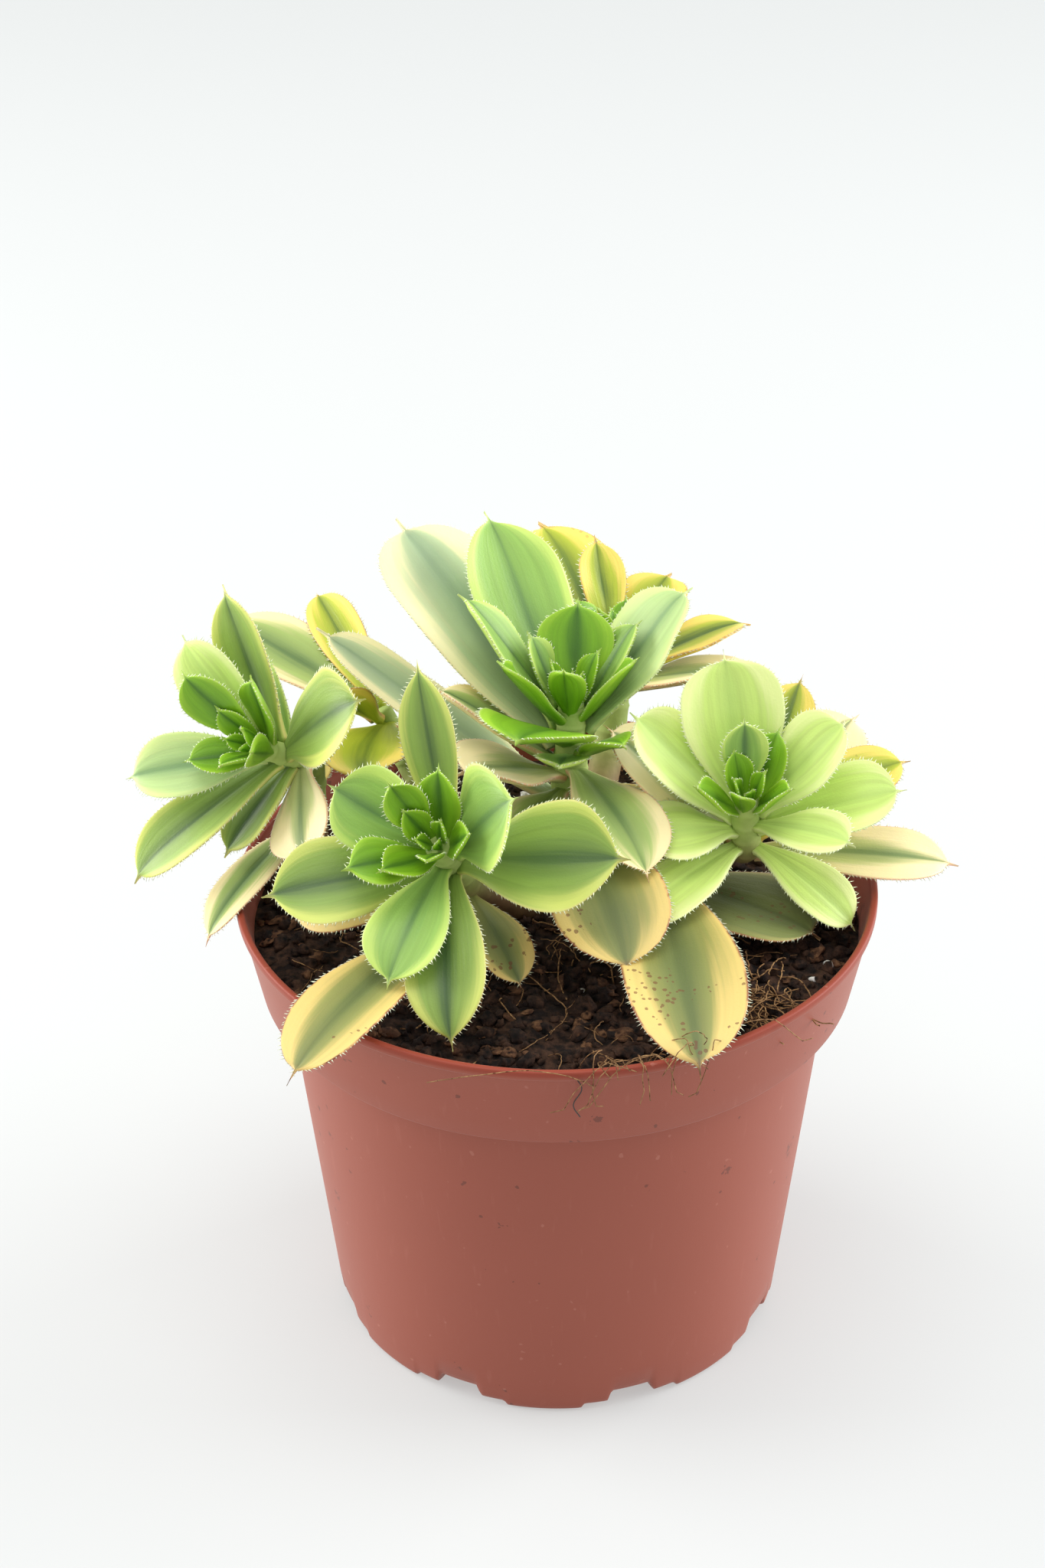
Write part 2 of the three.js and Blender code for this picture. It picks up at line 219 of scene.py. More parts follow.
# %% Streaks along the leaf
ZONES, source, result = new_group("leaf_zones", {"Stripe": 0.35, "Margin": 0.2},
                                  ["Stripe", "Margin", "Edge", "Streak", "Tip", "Tooth", "Rib"])
uv = add(ZONES, "UVMap", uv_map="leaf_uv").outputs["UV"]
part = add(ZONES, "SeparateXYZ", {0: uv})
vary = add(ZONES, "Attribute", attribute_name="leaf_vary").outputs["Fac"]
across = maths(ZONES, "ABSOLUTE", maths(ZONES, "SUBTRACT", maths(ZONES, "MULTIPLY", part.outputs["X"], 2.0), 1.0))
along = part.outputs["Y"]
stretch = add(ZONES, "CombineXYZ", {0: maths(ZONES, "MULTIPLY", part.outputs["X"], 16.0),
                                    1: maths(ZONES, "MULTIPLY", along, 1.4),
                                    2: maths(ZONES, "MULTIPLY", vary, 30.0)}).outputs[0]
streak = add(ZONES, "TexNoise", {"Vector": stretch, "Scale": 1.0, "Detail": 4.0}).outputs["Fac"]
broad = add(ZONES, "CombineXYZ", {0: maths(ZONES, "MULTIPLY", part.outputs["X"], 3.0),
                                  1: maths(ZONES, "MULTIPLY", along, 1.6),
                                  2: maths(ZONES, "MULTIPLY", vary, 80.0)}).outputs[0]
drift = add(ZONES, "TexNoise", {"Vector": broad, "Scale": 1.0, "Detail": 1.0}).outputs["Fac"]
shift = maths(ZONES, "ADD", maths(ZONES, "MULTIPLY", maths(ZONES, "SUBTRACT", streak, 0.5), 0.45),
              maths(ZONES, "MULTIPLY", maths(ZONES, "SUBTRACT", drift, 0.5), 0.5))
moved = maths(ZONES, "ADD", across, shift)
print("group:", ZONES.name)

# %% [markdown]
# Each zone is a mask from 0 to 1. The stripe fills the middle and narrows
# towards the tip, while the margin widens there. Both borders are moved by the
# streaks. The rib is the thin line at the very middle, and the edge, the tip
# and the teeth are told apart by how far across and along they lie.

# %% The leaf zones group
narrowing = maths(ZONES, "SUBTRACT", 1.2, maths(ZONES, "MULTIPLY", maths(ZONES, "POWER", along, 2.0), 0.65))
stripe_edge = maths(ZONES, "MULTIPLY", source.outputs["Stripe"], narrowing)
stripe_core = maths(ZONES, "SUBTRACT", maths(ZONES, "MULTIPLY", stripe_edge, 0.5), 0.3)
outside = step(ZONES, moved, stripe_core, maths(ZONES, "ADD", stripe_edge, 0.2))
foot_fade = maths(ZONES, "ADD", 0.35, maths(ZONES, "MULTIPLY", step(ZONES, along, 0.05, 0.5), 0.65))
ZONES.links.new(maths(ZONES, "MULTIPLY", maths(ZONES, "SUBTRACT", 1.0, outside), foot_fade), result.inputs["Stripe"])
widening = maths(ZONES, "ADD", 0.25, maths(ZONES, "MULTIPLY", maths(ZONES, "POWER", along, 1.5), 1.35))
margin_start = maths(ZONES, "SUBTRACT", 1.0, maths(ZONES, "MULTIPLY", source.outputs["Margin"], widening))
inside = step(ZONES, moved, maths(ZONES, "SUBTRACT", margin_start, 0.22), maths(ZONES, "ADD", margin_start, 0.2))
ZONES.links.new(inside, result.inputs["Margin"])
ZONES.links.new(step(ZONES, across, 0.94, 0.995), result.inputs["Edge"])
ZONES.links.new(streak, result.inputs["Streak"])
ZONES.links.new(step(ZONES, along, 0.93, 1.0), result.inputs["Tip"])
ZONES.links.new(step(ZONES, along, 1.4, 1.6), result.inputs["Tooth"])
rib_place = maths(ZONES, "ADD", across, maths(ZONES, "MULTIPLY", shift, 0.3))
near_rib = maths(ZONES, "SUBTRACT", 1.0, step(ZONES, rib_place, 0.0, 0.14))
ZONES.links.new(maths(ZONES, "MULTIPLY", near_rib, foot_fade), result.inputs["Rib"])
print("zones:", [socket.name for socket in result.inputs if socket.name])

# %% [markdown]
# The finish lays the zones over each other as a painter would: body, margin,
# stripe, rib, edge, tip, then the marks of age and last the pale teeth. Pores
# and streaks make a fine bump. A little light passes through the flesh of a
# real leaf, so the finish has some subsurface scattering.

# %% How a leaf finish is made
def leaf_finish(name, stripe, body, margin, edge, widths, age=0.0, pale=0.0):
    """Stripe, body, margin and edge colours in the two widths given, with flecks as age grows."""
    finish, tree, shader = new_finish(name, 0.42, Subsurface_Weight=0.08, Specular_IOR_Level=0.42)
    shader.inputs["Subsurface Radius"].default_value = (0.0016, 0.0022, 0.0007)
    zones = use(tree, ZONES, Stripe=widths[0], Margin=widths[1])
    streak = zones.outputs["Streak"]
    live = blend(tree, step(tree, streak, 0.3, 0.7), body, tuple(0.82 * c for c in body[:3]) + (1.0,))
    live = blend(tree, zones.outputs["Margin"], live, margin)
    live = blend(tree, maths(tree, "MULTIPLY", zones.outputs["Stripe"], 1.0 - pale), live, stripe)
    deep = tuple(0.7 * c for c in stripe[:3]) + (1.0,)
    live = blend(tree, maths(tree, "MULTIPLY", zones.outputs["Rib"], 0.3 * (1.0 - pale)), live, deep)
    live = blend(tree, maths(tree, "MULTIPLY", zones.outputs["Edge"], 0.6), live, edge)
    live = blend(tree, maths(tree, "MULTIPLY", zones.outputs["Tip"], 0.5), live, edge)
    place = add(tree, "TexCoord").outputs["Object"]
    if age:
        flecks = use(tree, SPECKS, Scale=700.0, Size=0.27, Amount=0.38 + 0.1 * age)
        live = blend(tree, maths(tree, "MULTIPLY", flecks.outputs["Mask"], 0.75 * age), live, colour(112, 62, 38))
        scorch = add(tree, "TexNoise", {"Vector": place, "Scale": 330.0, "Detail": 4.0}).outputs["Fac"]
        burnt = maths(tree, "MULTIPLY", step(tree, scorch, 0.44, 0.54), zones.outputs["Edge"])
        live = blend(tree, maths(tree, "MULTIPLY", burnt, age), live, colour(120, 52, 36))
        tip = maths(tree, "MULTIPLY", zones.outputs["Tip"], step(tree, scorch, 0.3, 0.42))
        live = blend(tree, maths(tree, "MULTIPLY", tip, age), live, colour(70, 40, 34))
    live = blend(tree, maths(tree, "MULTIPLY", zones.outputs["Tooth"], 0.8), live, colour(234, 240, 208))
    tree.links.new(live, shader.inputs["Base Color"])
    pores = add(tree, "TexNoise", {"Vector": place, "Scale": 2600.0, "Detail": 3.0}).outputs["Fac"]
    swell = add(tree, "TexNoise", {"Vector": place, "Scale": 260.0, "Detail": 2.0}).outputs["Fac"]
    height = maths(tree, "ADD", maths(tree, "MULTIPLY", pores, 0.35),
                   maths(tree, "ADD", maths(tree, "MULTIPLY", streak, 0.8), maths(tree, "MULTIPLY", swell, 0.6)))
    bump = add(tree, "Bump", {"Height": height, "Strength": 0.28, "Distance": 0.0004})
    tree.links.new(bump.outputs[0], shader.inputs["Normal"])
    rough = maths(tree, "ADD", 0.36, maths(tree, "MULTIPLY", swell, 0.16))
    tree.links.new(rough, shader.inputs["Roughness"])
    return finish


# %% [markdown]
# Each kind of leaf on this plant uses the same zones with its own colours and
# widths. Young shade leaves are nearly all green, and old ones have an ochre
# margin, a tired olive stripe and brown flecks.

# %% Leaf finishes
LEAF_FINISH = {
    "lime": leaf_finish("leaf_lime", colour(184, 214, 112), colour(202, 226, 120), colour(228, 238, 156),
                        colour(230, 236, 176), (0.3, 0.3), pale=0.4),
    "fresh": leaf_finish("leaf_fresh", colour(84, 120, 66), colour(142, 180, 82), colour(190, 214, 104),
                         colour(206, 218, 142), (0.24, 0.24)),
    "green": leaf_finish("leaf_green", colour(70, 116, 24), colour(122, 172, 28), colour(158, 200, 50),
                         colour(184, 202, 108), (0.3, 0.2)),
    "striped": leaf_finish("leaf_striped", colour(68, 96, 50), colour(140, 168, 74), colour(200, 208, 104),
                           colour(220, 204, 136), (0.32, 0.26)),
    "pale": leaf_finish("leaf_pale", colour(120, 154, 98), colour(180, 206, 132), colour(208, 224, 142),
                        colour(216, 226, 160), (0.3, 0.24)),
    "misty": leaf_finish("leaf_misty", colour(142, 164, 126), colour(186, 202, 152), colour(240, 230, 176),
                         colour(240, 222, 170), (0.55, 0.34)),
    "edged": leaf_finish("leaf_edged", colour(90, 118, 66), colour(168, 188, 104), colour(242, 224, 168),
                         colour(236, 176, 144), (0.34, 0.42)),
    "cream": leaf_finish("leaf_cream", colour(118, 140, 84), colour(196, 202, 130), colour(248, 230, 176),
                         colour(234, 160, 130), (0.22, 0.7)),
    "golden": leaf_finish("leaf_golden", colour(78, 106, 30), colour(180, 190, 52), colour(236, 210, 100),
                          colour(222, 162, 104), (0.3, 0.4), age=0.35),
    "olive": leaf_finish("leaf_olive", colour(84, 94, 50), colour(124, 132, 76), colour(184, 174, 110),
                         colour(150, 70, 52), (0.4, 0.14), age=0.6),
    "old": leaf_finish("leaf_old", colour(102, 114, 64), colour(156, 156, 86), colour(226, 198, 118),
                       colour(202, 134, 96), (0.46, 0.36), age=0.9),
}
print("leaf finishes:", sorted(LEAF_FINISH))

# %% [markdown]
# ## The pot
# The real pot is one thin wall of moulded plastic. A Screw modifier could spin
# its profile round, but the slots under its foot need the turn of each point,
# so a formula spins it here. Its height and rim come from the solid that it
# replaces.

# %% Pot sizes
POT_HEIGHT = round(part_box("pot")[1][2] / MM, 2)
RIM_RADIUS = round(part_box("pot")[1][0] / MM, 2)
SOIL_TOP = round(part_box("soil")[1][2] / MM, 1)
COLLAR_HEIGHT, WALL, FLOOR_TOP = 18.4, 1.2, 1.6
COLLAR_FOOT = POT_HEIGHT - COLLAR_HEIGHT
COLLAR_FOOT_RADIUS, BODY_TOP_RADIUS, BODY_FOOT_RADIUS = 0.936 * RIM_RADIUS, 0.86 * RIM_RADIUS, 0.725 * RIM_RADIUS
print("pot height", POT_HEIGHT, "rim radius", RIM_RADIUS, "soil top", SOIL_TOP)

# %% [markdown]
# The profile is a short list of corners, each with the radius of its bend, and
# it runs from the middle of the underside out, up the wall, over the lip and
# down the inside. Straight stretches get extra points for the drain slots and
# the wavering of the wall.

# %% The pot's profile
def rounded(corner_points, steps=5):
    """A profile through [radius, height, rounding] corners, each rounding an arc-like Bezier bend."""
    corners = np.array(corner_points, dtype=float)
    path = [corners[0, :2]]
    for before, here, after in zip(corners[:-2], corners[1:-1], corners[2:]):
        arms = [before[:2] - here[:2], after[:2] - here[:2]]
        reach = [min(here[2], 0.45 * np.linalg.norm(arm)) / np.linalg.norm(arm) for arm in arms]
        start, end = here[:2] + arms[0] * reach[0], here[:2] + arms[1] * reach[1]
        t = np.linspace(0, 1, steps)[:, None]
        path.extend((1 - t) ** 2 * start + 2 * t * (1 - t) * here[:2] + t ** 2 * end)
    path.append(corners[-1, :2])
    return np.array(path)


def spread(profile, longest):
    """The same profile with extra points, so that no stretch is over the longest length."""
    pieces = [profile[:1]]
    for a, b in zip(profile[:-1], profile[1:]):
        count = max(1, int(np.ceil(np.linalg.norm(b - a) / longest)))
        pieces.append(a + (b - a) * (np.arange(1, count + 1) / count)[:, None])
    return np.vstack(pieces)


POT_PROFILE = spread(rounded([
    (0, 0, 0), (BODY_FOOT_RADIUS - 5, 0, 0.5), (BODY_FOOT_RADIUS, 0, 1.6),
    (BODY_TOP_RADIUS, COLLAR_FOOT, 0.5), (COLLAR_FOOT_RADIUS - 0.2, COLLAR_FOOT, 0.5),
    (RIM_RADIUS - 0.75, POT_HEIGHT - 2.1, 0.3), (RIM_RADIUS - 0.05, POT_HEIGHT - 1.8, 0.4),
    (RIM_RADIUS, POT_HEIGHT, 0.5), (RIM_RADIUS - 1.3, POT_HEIGHT, 0.5),
    (COLLAR_FOOT_RADIUS - WALL, COLLAR_FOOT + WALL, 0.5), (BODY_TOP_RADIUS - WALL, COLLAR_FOOT + WALL, 0.5),
    (BODY_FOOT_RADIUS - WALL, FLOOR_TOP, 0.5), (0, FLOOR_TOP, 0),
]), 4.0)
print("pot profile points:", len(POT_PROFILE))

# %% [markdown]
# Spinning gives every point a turn. The drain slots under the foot are part of
# the same surface: where a slot runs out, the underside is lifted, by a smooth
# step instead of a cut. A slight wavering of the wall keeps the highlights
# from looking drawn.

# %% The pot's surface
DRAIN_COUNT, DRAIN_FIRST = 8, -71.0  # slots, and degrees round to one of them
POT_SIDES = 480


def falling(distance, edge, steepness):
    """A smooth fall from 1 to 0 at an edge: one over one plus e to the power of the steepness times the excess."""
    return 1 / (1 + np.exp((distance - edge) * steepness))


def drain_lift(turn, radius):
    """How far the underside is lifted: 1 mm in each wide recess and 2.4 mm more in the slot inside it."""
    spacing = 2 * math.pi / DRAIN_COUNT
    off = (turn - math.radians(DRAIN_FIRST) + spacing / 2) % spacing - spacing / 2
    sideways = np.abs(off) * BODY_FOOT_RADIUS
    outward = falling(-radius, 8 - BODY_FOOT_RADIUS, 3)
    return (1.0 * falling(sideways, 9.6, 8) + 2.4 * falling(sideways, 4.3, 8)) * outward


def pot_surface(profile, sides):
    """Radius r(s) and height h(s) spun round Z, wavering by a tenth of a millimetre."""
    turn = np.linspace(0, 2 * np.pi, sides, endpoint=False)[None, :]
    radius, height = profile[:, :1], profile[:, 1:]
    waver = 0.1 * np.sin(3 * turn + 1.0) * (height / POT_HEIGHT) + 0.05 * np.sin(7 * turn + height * 0.05)
    radius = radius + waver * np.clip(radius / 40, 0, 1)
    low = falling(height, 3.0, 3)
    lifted = height + drain_lift(turn, radius) * low * (profile[:, :1] > 1)
    return np.stack([radius * np.cos(turn), radius * np.sin(turn), lifted + 0 * turn], -1)


pot_rings = len(POT_PROFILE) - 2
pot_grid = pot_surface(POT_PROFILE[1:-1], POT_SIDES)
pot_points = np.vstack([pot_grid.reshape(-1, 3), [[0, 0, 0], [0, 0, FLOOR_TOP]]])
pot_faces = ring_faces(pot_rings, POT_SIDES).tolist()
pot_faces += cap_faces(0, POT_SIDES, len(pot_points) - 2, True).tolist()
pot_faces += cap_faces((pot_rings - 1) * POT_SIDES, POT_SIDES, len(pot_points) - 1, False).tolist()
print("pot points:", len(pot_points))

# %% [markdown]
# The plastic is a dull terracotta brown that looks pinker where the light
# grazes it, because its skin is finely matte. The top of the lip is a deeper red.
# Dust and a few crumbs of soil stick to it, and handling has
# left faint upright rubs.

# %% The pot's plastic
PLASTIC, tree, shader = new_finish("pot_plastic", 0.42, Specular_IOR_Level=0.3, Sheen_Weight=0.12,
                                   Sheen_Roughness=0.4)
shader.inputs["Sheen Tint"].default_value = colour(236, 214, 206)
place = add(tree, "TexCoord").outputs["Object"]
height = add(tree, "SeparateXYZ", {0: place}).outputs["Z"]
cloud = add(tree, "TexNoise", {"Vector": place, "Scale": 22.0, "Detail": 3.0}).outputs["Fac"]
plastic = blend(tree, cloud, colour(143, 73, 56), colour(152, 80, 63))
squashed = add(tree, "Mapping", {"Vector": place, "Scale": (1.0, 1.0, 0.12)}).outputs[0]
rub = add(tree, "TexNoise", {"Vector": squashed, "Scale": 700.0, "Detail": 2.0}).outputs["Fac"]
plastic = blend(tree, maths(tree, "MULTIPLY", step(tree, rub, 0.62, 0.78), 0.22), plastic, colour(166, 98, 82))
lip = step(tree, height, (POT_HEIGHT - 1.5) * MM, (POT_HEIGHT - 0.7) * MM)
plastic = blend(tree, maths(tree, "MULTIPLY", lip, 0.85), plastic, colour(140, 54, 34))
dirt = use(tree, SPECKS, Scale=85.0, Size=0.085, Amount=0.46).outputs["Mask"]
grit = use(tree, SPECKS, Scale=260.0, Size=0.11, Amount=0.42).outputs["Mask"]
plastic = blend(tree, maths(tree, "MULTIPLY", maths(tree, "MAXIMUM", dirt, grit), 0.6), plastic, colour(88, 48, 38))
pale = add(tree, "TexNoise", {"Vector": place, "Scale": 480.0, "Detail": 1.0}).outputs["Fac"]
plastic = blend(tree, maths(tree, "MULTIPLY", step(tree, pale, 0.74, 0.78), 0.35), plastic, colour(180, 118, 102))
tree.links.new(plastic, shader.inputs["Base Color"])
fine = add(tree, "TexNoise", {"Vector": place, "Scale": 5200.0, "Detail": 1.0}).outputs["Fac"]
relief = maths(tree, "ADD", maths(tree, "MULTIPLY", fine, 0.5), maths(tree, "MULTIPLY", dirt, 0.6))
bump = add(tree, "Bump", {"Height": relief, "Strength": 0.2, "Distance": 0.0002})
tree.links.new(bump.outputs[0], shader.inputs["Normal"])
tree.links.new(maths(tree, "ADD", 0.42, maths(tree, "MULTIPLY", cloud, 0.14)), shader.inputs["Roughness"])
pot = make_piece("nursery_pot", pot_points, pot_faces, PLASTIC, ["pot"])
print("pot faces:", len(pot.data.polygons))

# %% [markdown]
# ## The soil
# Potting soil is lumps of dark peat with bark, fibres and white grains in it.
# A bump on a flat disc would look printed, so the ground's top is pushed up
# and down by layered waves, and the coarse bits that catch the eye are real
# geometry scattered over it.

# %% Layered noise
def waves(x, y, seed, size, layers=5):
    """A bumpy height from sums of sines in random directions, finer and weaker in each layer."""
    dice = np.random.default_rng(seed)
    total = np.zeros_like(x)
    for layer in range(layers):
        for _ in range(6):
            turn, phase = dice.uniform(0, 2 * np.pi, 2)
            pitch = size / 1.8 ** layer * dice.uniform(0.7, 1.3)
            total += np.sin((x * np.cos(turn) + y * np.sin(turn)) * 2 * np.pi / pitch + phase) / 1.5 ** layer
    return total / 7.0


def ground_height(x, y):
    """Height of the soil in millimetres: nearly level, higher at the stems and lower near the wall."""
    radius = np.hypot(x, y)
    mound = 2.2 * np.exp(-(radius / 30) ** 2) - 1.0 * np.clip((radius - 46) / 12, 0, 1) ** 2
    return SOIL_TOP + mound + 0.9 * waves(x, y, 3, 22.0, 6) * np.clip((59 - radius) / 6, 0, 1)


# %% [markdown]
# The ground is one closed surface spun like the pot. Its top follows the
# waves, and its side and underside keep just inside the pot's wall.

# %% The ground
rings, spokes = 150, 360
inner_wall = COLLAR_FOOT_RADIUS - WALL + (RIM_RADIUS - COLLAR_FOOT_RADIUS) * (SOIL_TOP - COLLAR_FOOT) / COLLAR_HEIGHT
turn = np.linspace(0, 2 * np.pi, spokes, endpoint=False)[None, :]
radius = np.linspace(0.4, inner_wall + 0.3, rings)[:, None]
top_x, top_y = radius * np.cos(turn), radius * np.sin(turn)
top = np.stack([top_x, top_y, ground_height(top_x, top_y)], -1)
side = np.array([[COLLAR_FOOT_RADIUS - WALL - 0.4, COLLAR_FOOT + 2], [BODY_TOP_RADIUS - WALL - 0.6, COLLAR_FOOT + 1.6],
                 [BODY_FOOT_RADIUS - WALL - 0.1, 4.0], [0.4, 4.0]])
under = np.stack([side[:, :1] * np.cos(turn), side[:, :1] * np.sin(turn), side[:, 1:] + 0 * turn], -1)
middle_height = ground_height(np.zeros(1), np.zeros(1))[0]
ground = np.vstack([top.reshape(-1, 3), under.reshape(-1, 3), [[0, 0, middle_height], [0, 0, 4.0]]])
ground_faces = ring_faces(rings + 4, spokes)[:, ::-1].tolist()
ground_faces += cap_faces(0, spokes, len(ground) - 2, False).tolist()
ground_faces += cap_faces((rings + 3) * spokes, spokes, len(ground) - 1, True).tolist()
print("ground points:", len(ground))

# %% [markdown]
# Peat, bark, white grains and fibres are all crumbly and matt. One recipe
# serves them, with two colours and a grain size for each.

# %% The soil's finishes
def earth_finish(name, dark, light, scale, depth=0.0006):
    """Two colours clouded together by noise, with a crumbly bump."""
    finish, tree, shader = new_finish(name, 0.9, Specular_IOR_Level=0.25)
    place = add(tree, "TexCoord").outputs["Object"]
    crumb = add(tree, "TexNoise", {"Vector": place, "Scale": scale, "Detail": 6.0, "Roughness": 0.7}).outputs["Fac"]
    clump = add(tree, "TexVoronoi", {"Vector": place, "Scale": scale * 1.6}).outputs["Distance"]
    tone = blend(tree, step(tree, crumb, 0.38, 0.68), dark, light)
    tree.links.new(blend(tree, step(tree, clump, 0.5, 0.05), tone, dark, "MULTIPLY"), shader.inputs["Base Color"])
    bump = add(tree, "Bump", {"Height": maths(tree, "ADD", crumb, clump), "Strength": 0.9, "Distance": depth})
    tree.links.new(bump.outputs[0], shader.inputs["Normal"])
    return finish


EARTH = earth_finish("soil_peat", colour(26, 17, 14), colour(78, 54, 40), 320.0)
BARK_CHIP = earth_finish("soil_bark", colour(70, 44, 30), colour(128, 92, 64), 500.0, 0.0003)
GRAIN = earth_finish("soil_white_grain", colour(196, 192, 184), colour(238, 236, 230), 900.0, 0.0002)
FIBRE = earth_finish("soil_fibre", colour(116, 84, 54), colour(176, 138, 94), 700.0, 0.0001)
soil = make_piece("soil_ground", ground, ground_faces, EARTH, ["soil"])
print("soil faces:", len(soil.data.polygons))

# %% [markdown]
# A crumb is a rough little ball. There are far too many to shape one by one,
# so one grid of rings and spokes is copied for all of them at once, and each
# copy is stretched, roughened, leaned over and dropped on the ground. A few
# dozen faces each are enough at this size.

# %% Lumps on the soil
LUMP_RINGS, LUMP_SIDES = 6, 8  # the first and the last ring are the two poles


def lumps(dice, count, sizes, flatness, spread_radius):
    """Points and faces of many small rocks.

    Each is a ball (sin tilt cos spin, sin tilt sin spin, cos tilt), times a
    size, a roughness for each point and a stretch for each axis, then leaned
    and turned. Places are spread evenly over a disc by the square root of a
    random share of its radius.
    """
    tilt = np.linspace(0, np.pi, LUMP_RINGS)[:, None]
    spin = np.linspace(0, 2 * np.pi, LUMP_SIDES, endpoint=False)[None, :]
    ball = np.stack([np.sin(tilt) * np.cos(spin), np.sin(tilt) * np.sin(spin), np.cos(tilt) + 0 * spin], -1)
    size = dice.uniform(*sizes, count)[:, None, None, None]
    rough = dice.uniform(0.65, 1.35, (count, LUMP_RINGS, LUMP_SIDES, 1))
    rough[:, 0], rough[:, -1] = rough[:, 0, :1], 1.0
    stretch = dice.uniform(0.6, 1.4, (count, 1, 1, 3)) * np.array([1, 1, flatness])
    shape = ball[None] * size * rough * stretch
    heading = dice.uniform(0, 2 * np.pi, count)[:, None, None]
    lean = dice.uniform(-0.6, 0.6, count)[:, None, None]
    x, y, z = shape[..., 0], shape[..., 1], shape[..., 2]
    x, z = x * np.cos(lean) - z * np.sin(lean), x * np.sin(lean) + z * np.cos(lean)
    x, y = x * np.cos(heading) - y * np.sin(heading), x * np.sin(heading) + y * np.cos(heading)
    out = spread_radius * np.sqrt(dice.uniform(0, 1, count))
    turn = dice.uniform(0, 2 * np.pi, count)
    at_x, at_y = out * np.cos(turn), out * np.sin(turn)
    at_z = ground_height(at_x, at_y) + 0.15 * size[:, 0, 0, 0]
    grid = np.stack([x + at_x[:, None, None], y + at_y[:, None, None], z + at_z[:, None, None]], -1)
    rows, corners = LUMP_RINGS - 2, (LUMP_RINGS - 2) * LUMP_SIDES
    points = np.concatenate([grid[:, 1:-1].reshape(count, corners, 3), grid[:, 0, :1], grid[:, -1, :1]], 1)
    walls = ring_faces(rows, LUMP_SIDES)[:, ::-1]
    caps = np.vstack([cap_faces(0, LUMP_SIDES, corners, False),
                      cap_faces(corners - LUMP_SIDES, LUMP_SIDES, corners + 1, True)])
    first = np.arange(count)[:, None, None] * (corners + 2)
    faces = (walls[None] + first).reshape(-1, 4).tolist() + (caps[None] + first).reshape(-1, 3).tolist()
    return points.reshape(-1, 3), faces


dice = np.random.default_rng(11)
for name, finish, count, sizes, flatness in (
        ("soil_crumbs", EARTH, 1500, (0.5, 1.7), 0.8), ("soil_bark_bits", BARK_CHIP, 260, (0.6, 2.2), 0.35),
        ("soil_white_grains", GRAIN, 34, (0.5, 1.3), 0.9)):
    points, faces = lumps(dice, count, sizes, flatness, 55.5)
    make_piece(name, points, faces, finish)
    print(name, count)

# %% [markdown]
# Roots and fibres are thin tubes. A curve with a bevel could draw each one,
# but a few hundred are quicker as one mesh: a ring of points is carried along
# every path at the same time.

# %% Tubes along paths
FIBRE_STEPS, FIBRE_SIDES = 16, 5


def tubes(paths, radii, sides=FIBRE_SIDES):
    """Thin tubes along many paths at once.

    Round each path point p lies a ring p + r (a cos spin + o sin spin), where
    a and o are square to the way ahead and to each other.
    """
    ahead = np.gradient(paths, axis=1)
    ahead /= np.linalg.norm(ahead, axis=-1, keepdims=True)
    across = np.cross(ahead, [0.31, 0.2, 0.93])
    across /= np.linalg.norm(across, axis=-1, keepdims=True)
    over = np.cross(ahead, across)
    spin = np.linspace(0, 2 * np.pi, sides, endpoint=False)[:, None]
    ring = across[:, :, None] * np.cos(spin) + over[:, :, None] * np.sin(spin)
    return paths[:, :, None] + ring * radii[:, :, None, None]


def tube_faces(count, length=FIBRE_STEPS, sides=FIBRE_SIDES):
    """Faces of that many tubes: quads along the wall, and one flat face at each end."""
    first = np.arange(count)[:, None, None] * length * sides
    walls = ring_faces(length, sides)[None] + first
    rim = np.arange(sides)
    ends = np.stack([rim[::-1], (length - 1) * sides + rim])[None] + first
    return walls.reshape(-1, 4).tolist() + ends.reshape(-1, sides).tolist()


print("faces of one fibre:", len(tube_faces(1)))

# %% [markdown]
# A fibre lies on the soil and curls. Its heading takes small random turns that
# add up along the way, so neighbouring stretches run nearly the same way.

# %% Fibres in the soil
def fibre_paths(dice, count, length, spread_radius):
    """Curling paths on the soil: each step goes on by the pace in a heading that is a sum of small turns."""
    steps = FIBRE_STEPS
    start = spread_radius * np.sqrt(dice.uniform(0, 1, count))
    turn = dice.uniform(0, 2 * np.pi, count)
    heading = dice.uniform(0, 2 * np.pi, (count, 1)) + np.cumsum(dice.normal(0, 0.28, (count, steps)), 1)
    pace = dice.uniform(*length, (count, 1)) / steps
    x = (start * np.cos(turn))[:, None] + np.cumsum(pace * np.cos(heading), 1)
    y = (start * np.sin(turn))[:, None] + np.cumsum(pace * np.sin(heading), 1)
    shrink = np.minimum(1, 56.0 / np.hypot(x, y))
    x, y = x * shrink, y * shrink
    arch = np.sin(np.linspace(0, np.pi, steps))[None, :] * dice.uniform(0, 2.2, (count, 1))
    return np.stack([x, y, ground_height(x, y) + 0.25 + arch], -1)


fibre_count = 230
paths = fibre_paths(dice, fibre_count, (5.0, 18.0), 52.0)
radii = np.full(paths.shape[:2], 0.13) * dice.uniform(0.5, 1.3, (fibre_count, 1))
make_piece("soil_fibres", tubes(paths, radii).reshape(-1, 3), tube_faces(fibre_count), FIBRE)
print("fibres:", fibre_count)

# %% [markdown]
# A tuft of fibres has been pushed up over the front of the rim. Each fibre's
# radius grows steadily, while its height climbs as a sine and then falls as a
# square, like a hanging thread. Past the rim it keeps close to the collar.

